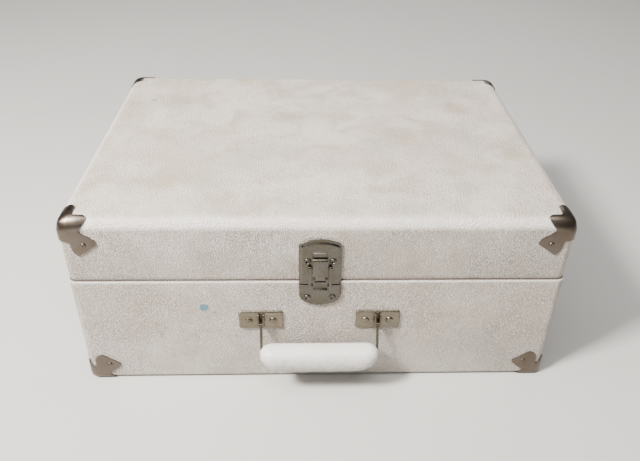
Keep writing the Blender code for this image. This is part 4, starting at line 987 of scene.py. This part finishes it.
def grip_section(x):
    """The grip's top and bottom, and its half depth, at a place along it."""
    def fall(length):
        return 1 - sqrt(max(0.0, 1 - max(0.0, 1 + (abs(x) - GRIP_HALF_LENGTH) / length) ** 2))
    top = GRIP_HEIGHT + 0.0122 - 0.0080 * fall(0.010)
    low = GRIP_HEIGHT - 0.0122 + 0.0164 * fall(0.023) + 0.0010 * (x / GRIP_HALF_LENGTH) ** 2
    return top, max(top - low, 0.0004), 0.0114 * max(1 - fall(0.015), 0.03)


def build_grip(vinyl):
    rings = []
    count, sides = 60, 32
    for i in range(count + 1):
        x = -cos(pi * i / count) * (GRIP_HALF_LENGTH - 0.0008)
        top, height, half_y = grip_section(x)
        ring = []
        for k in range(sides):
            c, s = cos(2 * pi * k / sides), sin(2 * pi * k / sides)
            ring.append((x, FRONT - GRIP_OUT + half_y * copysign(abs(c) ** 0.9, c),
                         top - height * (1 - copysign(abs(s) ** 0.86, s)) / 2))
        rings.append(ring)
    grip = link_object("handle_grip_pad", mesh_from(loft(rings), "handle_grip_pad"))
    inflate(grip, 0.002, 0.0010)
    finer = grip.modifiers.new("finer", "SUBSURF")
    finer.levels = finer.render_levels = 1
    apply_modifiers(grip)
    finish(grip, vinyl)
    grip.data.shade_smooth()
    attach(grip, "handle")
    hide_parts("handle_grip")


def inflate(piece, voxel, cap):
    """Swells a pad with a short cloth simulation, keeping every point within cap of where it began."""
    remesh = piece.modifiers.new("remesh", "REMESH")
    remesh.mode = "VOXEL"
    remesh.voxel_size = voxel
    apply_modifiers(piece)
    before = [v.co.copy() for v in piece.data.vertices]
    pinned = piece.vertex_groups.new(name="ends")
    pinned.add([v.index for v in piece.data.vertices if abs(v.co.x) > GRIP_HALF_LENGTH - 0.004], 1.0,
               "REPLACE")
    cloth = piece.modifiers.new("cloth", "CLOTH")
    settings = cloth.settings
    settings.quality = 6
    settings.mass = 0.3
    settings.use_pressure = True
    settings.uniform_pressure_force = 4
    settings.tension_stiffness = settings.compression_stiffness = 40
    settings.shear_stiffness = 20
    settings.bending_stiffness = 3
    settings.effector_weights.gravity = 0
    settings.vertex_group_mass = "ends"
    cloth.point_cache.frame_start = 1
    cloth.point_cache.frame_end = 20
    scene = bpy.context.scene
    for frame_number in range(1, 21):
        scene.frame_set(frame_number)
    apply_modifiers(piece)
    scene.frame_set(1)
    for vertex, start in zip(piece.data.vertices, before):
        step = vertex.co - start
        if step.length > cap:
            vertex.co = start + step.normalized() * cap
    piece.vertex_groups.clear()


# ---------------------------------------------------------------- stop hinges

HINGE_X = 0.1150
HINGE_HALF_WIDTH = 0.0220
HINGE_MIDDLE = 0.0080
HINGE_LEAF_HEIGHT = 0.0160
HINGE_AXIS_OUT = 0.0042
KNUCKLE_RADIUS = 0.0028
HINGE_HEIGHT = SEAM + 0.0002


def facing_back(x, out, z):
    """Stands a piece that was made on XY upright on the back face, its +Z outwards."""
    turn = Matrix(((-1, 0, 0, 0), (0, 0, 1, 0), (0, 1, 0, 0), (0, 0, 0, 1)))
    return Matrix.Translation((x, BACK + out, z)) @ turn


def build_hinges(metal):
    axis_y = BACK + HINGE_AXIS_OUT
    for name, side in SIDES:
        x = side * HINGE_X
        for half, up, inset, spans in (
            ("base", -1, 0.0, ((-HINGE_MIDDLE, HINGE_MIDDLE),)),
            ("lid", 1, LID_INSET, ((-HINGE_HALF_WIDTH, -HINGE_MIDDLE - 0.0004),
                                   (HINGE_MIDDLE + 0.0004, HINGE_HALF_WIDTH))),
        ):
            radii = [0.0003, 0.0003, 0.0030, 0.0030][::up]
            outline = oblong(HINGE_HALF_WIDTH, HINGE_LEAF_HEIGHT / 2, radii,
                             (0, up * (0.0010 + HINGE_LEAF_HEIGHT / 2)))
            leaf = moved(stamped(outline, ((0, 0), (0, 0.0010), (0.00025, 0.0012))),
                         facing_back(x, GAP - inset, HINGE_HEIGHT))
            parts = [leaf]
            for start, end in spans:
                curl = circle((axis_y, HINGE_HEIGHT), KNUCKLE_RADIUS, 32)
                parts.append(prism(anticlockwise(curl), x + start, x + end, "X"))
                low, high = sorted((HINGE_HEIGHT + up * 0.0012, HINGE_HEIGHT + up * 0.0025))
                parts.append(box_mesh((x + start + 0.0001, BACK + GAP - inset + 0.0002, low),
                                      (x + end - 0.0001, axis_y, high)))
            label = f"hinge_{name}_{half}_leaf"
            piece = add_piece(f"{label}_plate", merged(*parts), metal, half, 35, label)
            soften(piece, 0.0002, 2, 50)
            heads = []
            for offset in (-0.0150, 0.0, 0.0150):
                head = lathe([(0.0030, 0), (0.0028, 0.0004), (0.0018, 0.0009), (0, 0.0011)], 24)
                seat = facing_back(x + offset, GAP - inset + 0.0012, HINGE_HEIGHT + up * 0.0105)
                heads.append(moved(head, seat))
            add_piece(f"{label}_screws", merged(*heads), metal, half, 50)
        ends = []
        for end in (-1, 1):
            dome = lathe([(0.0014, 0), (0.0017, 0.0002), (0.0014, 0.0006), (0, 0.0008)], 20)
            place = (x + end * HINGE_HALF_WIDTH, axis_y, HINGE_HEIGHT)
            ends.append(moved(dome, at(place, end * pi / 2, "Y")))
        add_piece(f"hinge_{name}_pin_ends", merged(*ends), metal, "base", 50, f"hinge_{name}_pin")


# ---------------------------------------------------------------- boards and linings

def build_lining(name, body, low, high, sheet, lip, paper):
    """A sheet of lining from its closed side to its mouth and back inside, with a rounded lip."""
    closed, mouth = (low.z, high.z) if body == "base" else (high.z, low.z)
    inwards = copysign(1, mouth - closed)
    corner = UPRIGHT_EDGE_RADIUS * 0.5
    rings = [(inset, height, corner) for inset, height in (
        (0, closed), (0, mouth - inwards * lip), (0.0003, mouth), (sheet - 0.0003, mouth),
        (sheet, mouth - inwards * lip), (sheet, closed + inwards * (sheet + 0.0030)),
        (sheet + 0.0010, closed + inwards * (sheet + 0.0008)), (sheet + 0.0030, closed + inwards * sheet),
    )]
    add_piece(f"{name}_paper", loft(case_rings(high.x, (high.y - low.y) / 2, rings)), paper, body, 50, name)


def chart_colours(card):
    """Rows of colour patches, from yellow to red, green to blue, and pale to deep violet."""
    low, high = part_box("chart_card")
    columns, rows = 7, 3
    colours = card.mix(card.noise(40, 2), (0.78, 0.75, 0.66), (0.72, 0.69, 0.60))
    ends = (((0.85, 0.75, 0.20), (0.75, 0.16, 0.10)), ((0.55, 0.72, 0.30), (0.08, 0.25, 0.55)),
            ((0.80, 0.66, 0.78), (0.35, 0.08, 0.40)))
    width, depth = high.x - low.x, high.y - low.y
    for row in range(rows):
        for column in range(columns):
            start, end = ends[row]
            t = column / (columns - 1)
            tint = tuple(a + (b - a) * t for a, b in zip(start, end))
            u = low.x + width * (0.12 + 0.76 * (column + 0.5) / columns)
            v = low.y + depth * (0.16 + 0.68 * (row + 0.5) / rows)
            inside_u = card.within(card.axis("X"), u, 0.0115, 0.0118)
            inside_v = card.within(card.axis("Y"), v, 0.0135, 0.0138)
            colours = card.stain(colours, inside_u, inside_v, tint)
    card.colour(colours)
    card.bump((card.noise(900, 3), 0.15, 0.0001))
    return card.material


def build_boards(ply, wood):
    for label in ("base_board", "lid_board"):
        finish(nodes[label], ply)
    for label in ("rack_deck_front", "rack_deck_back", "rack_support", "rack_divider"):
        low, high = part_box(label)
        if label == "rack_divider":
            shape = box_mesh((high.x - 0.0060, low.y, low.z), high)
        else:
            shape = box_mesh(low, high)
        board = add_piece(f"{label}_board", shape, wood, "base", 30, label)
        if label == "rack_divider":
            carve(board, box_mesh(low, (high.x - 0.0030, high.y, deck_low.z - GAP)), "UNION")
        if label == "rack_deck_back":
            for x in BOTTLE_X:
                hole = circle((x, BOTTLE_Y), BOTTLE_RADIUS + 0.0007, 56)
                carve(board, prism(hole, low.z - 0.01, high.z + 0.01, "Z"))
        if label == "rack_deck_front":
            for x in TUBE_X:
                carve(board, prism(socket(x, TUBE_Y, TUBE_RADIUS + 0.0007), low.z - 0.01, high.z + 0.01, "Z"))
            body_low, body_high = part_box("comparator_body")
            carve(board, box_mesh((body_low.x - 0.0055, body_low.y - 0.0080, low.z - 0.01),
                                  (body_high.x + 0.0055, body_high.y + 0.0010, high.z + 0.01)))
        soften(board, 0.0006, 2, 50)


def socket(x, y, half):
    """The outline of a square well with round corners."""
    corners = [(x - half, y - half), (x + half, y - half), (x + half, y + half), (x - half, y + half)]
    return rounded_outline(corners, 0.0012)


# ---------------------------------------------------------------- bottles, tubes and comparator

BOTTLE_X = (-0.160, -0.110, -0.060, -0.010)
BOTTLE_Y = 0.080 + MIDDLE_Y
BOTTLE_RADIUS = 0.0200
TUBE_X = (-0.040, -0.005)
TUBE_Y = -0.070 + MIDDLE_Y
TUBE_RADIUS = 0.0090
TUBE_LENGTH = 0.0900
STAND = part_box("reagent_bottle_1")[0].z
COMPARATOR_WELLS = (0.006, 0.032)
FILTER_COUNT = 9
FILTER_RING = 0.0260
FILTER_RADIUS = 0.0042


def build_bottles(glass, label_paper, cap):
    r = BOTTLE_RADIUS
    outside = rounded_profile([(0, 0.0012), (r - 0.0060, 0.0012), (r - 0.0030, 0), (r, 0.0006), (r, 0.0620),
                               (r - 0.0035, 0.0672), (0.0108, 0.0718), (0.0098, 0.0735), (0.0098, 0.0850),
                               (0.0080, 0.0850), (0, 0.0850)], 0.0022, 5)
    for number, x in enumerate(BOTTLE_X, 1):
        place = Matrix.Translation((x, BOTTLE_Y, STAND))
        bottle = moved(lathe(outside, 56), place)
        add_piece(f"bottle_{number}_glass", bottle, glass, f"bottle_{number}", 45, f"reagent_bottle_{number}")
        band = lathe([(r + 0.00004, 0.0140), (r + 0.00016, 0.0141), (r + 0.00018, 0.0300),
                      (r + 0.00018, 0.0479), (r + 0.00016, 0.0499), (r + 0.00004, 0.0500)], 72)
        bmesh.ops.delete(band, geom=[f for f in band.faces if f.calc_center_median().y > r * 0.35],
                         context="FACES")
        add_piece(f"bottle_{number}_label", moved(band, place), label_paper, f"bottle_{number}", 60)
        ribs = []
        teeth = 36
        for radius, height in ((0.0104, 0.0745), (0.0132, 0.0745), (0.0135, 0.0750), (0.0135, 0.0868),
                               (0.0131, 0.0880), (0.0122, 0.0888), (0.0110, 0.0890), (0.0108, 0.0887)):
            ring = []
            for k in range(teeth * 4):
                groove = 0.00045 if k % 4 == 0 and 0.0130 < radius and 0.0748 < height < 0.0872 else 0.0
                a = 2 * pi * k / (teeth * 4)
                ring.append(((radius - groove) * cos(a), (radius - groove) * sin(a), height))
            ribs.append(ring)
        add_piece(f"bottle_{number}_cap", moved(loft(ribs), place), cap, f"cap_{number}", 30,
                  f"bottle_cap_{number}")


def build_tubes(glass, rubber):
    r, bore, length = TUBE_RADIUS, TUBE_RADIUS - 0.0012, TUBE_LENGTH
    wall = rounded_profile([(0, 0.0022), (bore * 0.7, 0.0032), (bore, 0.0068), (bore, length - 0.0002),
                            (bore + 0.0003, length), (r - 0.0003, length), (r, length - 0.0003), (r, 0.0060),
                            (r * 0.72, 0.0012), (r * 0.3, 0), (0, 0)], 0.0010, 4)
    mark_paint = plain("tube_mark_paint", (0.75, 0.75, 0.72), 0.5)
    for number, x in enumerate(TUBE_X, 1):
        place = Matrix.Translation((x, TUBE_Y, STAND))
        add_piece(f"tube_{number}_glass", moved(lathe(wall, 40), place), glass, f"tube_{number}", 50,
                  f"sample_tube_{number}")
        mark = lathe([(r - 0.0001, 0.0598), (r + 0.0001, 0.0600), (r + 0.0001, 0.0605), (r - 0.0001, 0.0607)],
                     40)
        add_piece(f"tube_{number}_mark", moved(mark, place), mark_paint, f"tube_{number}", 60)
        plug = bore - GAP
        body = rounded_profile([(0, 0.0080), (r - 0.0004, 0.0080), (r, 0.0060), (r, GAP), (plug, GAP),
                                (plug - 0.0005, -0.0110), (0, -0.0110)], 0.0008, 4)
        stopper = moved(lathe(body, 36), Matrix.Translation((x, TUBE_Y, STAND + length)))
        add_piece(f"stopper_{number}_rubber", stopper, rubber, f"stopper_{number}", 45,
                  f"tube_stopper_{number}")


def build_comparator(bakelite, disc_plastic, metal):
    low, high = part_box("comparator_body")
    disc_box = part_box("comparator_disc")
    centre = (disc_box[0] + disc_box[1]) / 2
    middle = (low + high) / 2
    body = add_piece("comparator_housing", box_mesh(low, high), bakelite, "comparator", 35, "comparator_body")
    rounding = body.modifiers.new("rounding", "BEVEL")
    rounding.width = 0.003
    rounding.segments = 5
    apply_modifiers(body)
    for offset in COMPARATOR_WELLS:
        x = middle.x + offset
        carve(body, prism(socket(x, middle.y, 0.0094), STAND + 0.012, high.z + 0.01, "Z"))
        carve(body, prism(circle((x, centre.z), 0.0052, 40), low.y - 0.01, high.y + 0.01, "Y"))
    bore = circle((centre.x, centre.z), 0.0023, 24)
    carve(body, prism(bore, low.y - 0.01, low.y + 0.0086, "Y"))
    soften(body, 0.0004, 2, 50)

    wheel = lathe([(0, -0.0015), (0.0300, -0.0015), (0.0338, -0.0015), (0.0340, -0.0012), (0.0340, 0.0012),
                   (0.0338, 0.0015), (0.0300, 0.0015), (0.0296, 0.0011), (0.0200, 0.0011), (0.0085, 0.0011),
                   (0.0080, 0.0015), (0.0, 0.0015)], 96)
    turn = at(centre, pi / 2, "X")
    disc = add_piece("comparator_wheel", moved(wheel, turn), disc_plastic, "disc", 35, "comparator_disc")
    cutters = []
    glasses = []
    for number in range(FILTER_COUNT):
        angle = 2 * pi * number / FILTER_COUNT
        x, z = centre.x + FILTER_RING * cos(angle), centre.z + FILTER_RING * sin(angle)
        cutters.append(prism(circle((x, z), FILTER_RADIUS, 28), centre.y - 0.01, centre.y + 0.01, "Y"))
        glasses.append((number, x, z))
    cutters.append(prism(circle((centre.x, centre.z), 0.0024, 24), centre.y - 0.01, centre.y + 0.01, "Y"))
    carve(disc, merged(*cutters))
    reshade(disc)
    pale, deep = Vector((0.90, 0.80, 0.30)), Vector((0.80, 0.16, 0.10))
    for number, x, z in glasses:
        tint = tuple(pale.lerp(deep, number / (FILTER_COUNT - 1)))
        filter_glass = Shading(f"filter_{number + 1}", tint, 0.12)
        filter_glass.colour(filter_glass.mix(filter_glass.noise(300, 3), tint, scaled(tint, 0.8)))
        filter_glass.set("Transmission Weight", 0.35)
        filter_glass.set("Coat Weight", 0.4)
        pane = prism(circle((x, z), FILTER_RADIUS - 0.0001, 28), centre.y - 0.0006, centre.y + 0.0006, "Y")
        add_piece(f"comparator_filter_{number + 1}", pane, filter_glass.material, "disc", 30)
    hub_low, hub_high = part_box("comparator_hub")
    knob = rounded_profile([(0, -0.0080), (0.0020, -0.0080), (0.0020, 0.0), (0.0060, 0.0), (0.0060, 0.0018),
                            (0.0050, 0.0024), (0, 0.0024)], 0.0006, 3)
    turn = at((centre.x, hub_low.y + 0.0024, centre.z), pi / 2, "X")
    add_piece("comparator_knob", moved(lathe(knob, 40), turn), metal, "comparator", 45, "comparator_hub")


# ---------------------------------------------------------------- other materials

def plain(name, colour, roughness):
    """A dull finish with faint mottling."""
    made = Shading(name, colour, roughness)
    made.colour(made.mix(made.noise(60, 4, 0.6), colour, scaled(colour, 0.88)))
    made.bump((made.noise(700, 3), 0.12, 0.00008))
    return made.material


def grip_leather():
    """Smooth white vinyl, rubbed and soiled with dark smudges on its lower side, which painted shade also
    darkens.
    """
    skin = Shading("grip_vinyl", (0.80, 0.79, 0.775), 0.42)
    mottle = skin.range(skin.noise(60, 4, 0.6), 0.4, 0.75)
    tint = skin.stain((0.80, 0.785, 0.77), mottle, 0.4, (0.70, 0.675, 0.64))
    # Painted shade: darker towards the bottom of the grip.
    low = skin.range(skin.axis("Z"), 0.030, 0.050, 1, 0)
    tint = skin.mix(low, tint, (0.40, 0.395, 0.37))
    smudge = skin.range(skin.noise(170, 4, 0.65, 0.5), 0.46, 0.66)
    tint = skin.stain(tint, skin.times(low, smudge), 0.7, (0.24, 0.235, 0.21))
    skin.colour(tint)
    skin.rough(skin.range(skin.noise(140, 3), 0.3, 0.7, 0.36, 0.5))
    skin.bump((skin.noise(120, 3), 0.16, 0.0004), (skin.noise(900, 2), 0.12, 0.00008))
    return skin.material


def wood(name, pale, dark, varnish=0.0):
    """Straight-grained wood, its grain along X."""
    made = Shading(name, pale, 0.5)
    along = (0.08, 1, 1)
    grain = made.noise(160, 5, 0.65, 0.4, stretch=along)
    rings = made.noise(38, 3, 0.6, 1.2, stretch=along)
    tint = made.mix(made.range(rings, 0.35, 0.65), pale, dark)
    pores = made.range(made.noise(700, 2, 0.5, stretch=along), 0.62, 0.72)
    tint = made.stain(tint, pores, 0.5, scaled(dark, 0.45))
    tint = made.stain(tint, made.range(grain, 0.4, 0.7), 0.35, scaled(dark, 0.75))
    made.colour(tint)
    made.rough(made.range(grain, 0.3, 0.7, 0.38, 0.55))
    made.set("Coat Weight", varnish)
    made.set("Coat Roughness", 0.25)
    made.bump((grain, 0.2, 0.0003), (pores, 0.15, 0.0001))
    return made.material


def lining():
    """Grey-blue lining paper with a fine woven emboss and some wear."""
    made = Shading("lining_paper", (0.25, 0.30, 0.34), 0.8)
    cloud = made.range(made.noise(14, 4, 0.6), 0.35, 0.7)
    tint = made.mix(cloud, (0.235, 0.290, 0.335), (0.300, 0.345, 0.370))
    foxing = made.range(made.noise(70, 4, 0.7, 0.4, offset=(5, 5, 5)), 0.60, 0.72)
    tint = made.stain(tint, foxing, 0.4, (0.30, 0.24, 0.17))
    weave = []
    for axis in ("X", "Y", "Z"):
        wave = made.math("SINE", made.times(made.axis(axis), 4200.0))
        weave.append(made.range(wave, -1, 1))
    height = made.math("ADD", made.times(weave[0], weave[1]), made.times(weave[2], 0.5))
    made.colour(made.stain(tint, height, 0.15, (0.38, 0.42, 0.45)))
    made.bump((height, 0.25, 0.0001), (made.noise(500, 3), 0.2, 0.0001))
    return made.material


def amber_glass():
    """Brown bottle glass with reagent inside it, modelled as one body."""
    made = Shading("amber_glass", (0.30, 0.115, 0.025), 0.06)
    made.set("Transmission Weight", 0.55)
    made.set("IOR", 1.48)
    made.set("Coat Weight", 0.6)
    level = made.range(made.axis("Z"), STAND + 0.0525, STAND + 0.0535)
    made.colour(made.mix(level, (0.20, 0.070, 0.016), (0.46, 0.20, 0.055)))
    made.rough(made.range(made.noise(90, 3), 0.4, 0.7, 0.04, 0.12))
    made.bump((made.noise(70, 2), 0.06, 0.0004))
    return made.material


def clear_glass():
    made = Shading("clear_glass", (0.94, 0.97, 0.96), 0.03)
    made.set("Transmission Weight", 0.95)
    made.set("IOR", 1.45)
    made.colour(made.mix(made.range(made.noise(50, 4), 0.4, 0.75), (0.95, 0.98, 0.97), (0.86, 0.90, 0.88)))
    made.rough(made.range(made.noise(130, 4), 0.45, 0.75, 0.02, 0.10))
    return made.material


def moulding(name, colour, roughness, coat=0.2):
    """Moulded plastic: an even colour with faint flow marks and fine scuffs."""
    made = Shading(name, colour, roughness)
    made.colour(made.mix(made.noise(25, 3, 0.6, 1.5), colour,
                         tuple(min(1, c * 1.25 + 0.004) for c in colour)))
    scuffs = made.range(made.noise(300, 4, 0.7), 0.5, 0.75)
    made.rough(made.range(scuffs, 0, 1, roughness, min(1, roughness + 0.22)))
    made.set("Coat Weight", coat)
    made.bump((made.noise(420, 2), 0.08, 0.0001))
    return made.material


def label_paper():
    """A blank cream label with a coloured band along its upper edge."""
    made = Shading("label_paper", (0.74, 0.69, 0.56), 0.7)
    tint = made.mix(made.range(made.noise(60, 4, 0.6), 0.35, 0.7), (0.76, 0.71, 0.58), (0.66, 0.59, 0.45))
    band = made.times(made.range(made.axis("Z"), STAND + 0.0425, STAND + 0.0428),
                     made.range(made.axis("Z"), STAND + 0.0465, STAND + 0.0468, 1, 0))
    colours = ((0.45, 0.10, 0.08), (0.10, 0.26, 0.38), (0.12, 0.32, 0.16), (0.55, 0.38, 0.08))
    stripe = colours[0]
    for x, colour in zip(BOTTLE_X[1:], colours[1:]):
        stripe = made.mix(made.range(made.axis("X"), x - 0.0252, x - 0.0248), stripe, colour)
    made.colour(made.mix(band, tint, stripe))
    made.bump((made.noise(800, 3), 0.15, 0.0001))
    return made.material


# ---------------------------------------------------------------- the whole kit

def main():
    add_camera()
    add_studio()
    metal = nickel("satin_nickel", 0.33, (0.140, 0.118, 0.100))
    fittings = nickel("latch_nickel", 0.25, (0.118, 0.111, 0.097))
    plates = nickel("handle_nickel", 0.25, (0.185, 0.165, 0.130))
    wire = nickel("bail_steel", 0.26, (0.125, 0.118, 0.095))
    # Dark steel for the sheet of painted shade between the handle's ears.
    dark = nickel("slot_shade_steel", 0.45, (0.105, 0.092, 0.076))
    build_coverings()
    build_corners(metal)
    build_latch(fittings)
    build_handle_plates(plates, dark)
    build_bail(wire)
    build_grip(grip_leather())
    build_hinges(metal)
    for label in ("latch_link_pin", "lever_pin_left", "lever_pin_right"):
        finish(nodes[label], wire)
    paper = lining()
    build_lining("base_lining", "base", *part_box("base_lining"), 0.0012, 0.0004, paper)
    build_lining("lid_lining", "lid", *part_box("lid_lining"), 0.0010, 0.0003, paper)
    finish(nodes["chart_card"], chart_colours(Shading("chart_card", (0.76, 0.73, 0.64), 0.7)))
    build_boards(wood("case_plywood", (0.52, 0.37, 0.22), (0.40, 0.26, 0.14)),
                 wood("rack_wood", (0.56, 0.38, 0.21), (0.42, 0.25, 0.12), 0.25))
    build_bottles(amber_glass(), label_paper(), moulding("black_cap", (0.018, 0.017, 0.016), 0.38, 0.1))
    build_tubes(clear_glass(), plain("stopper_rubber", (0.33, 0.085, 0.055), 0.72))
    build_comparator(moulding("comparator_bakelite", (0.045, 0.022, 0.014), 0.28, 0.4),
                     moulding("disc_plastic", (0.72, 0.71, 0.67), 0.38), wire)


main()
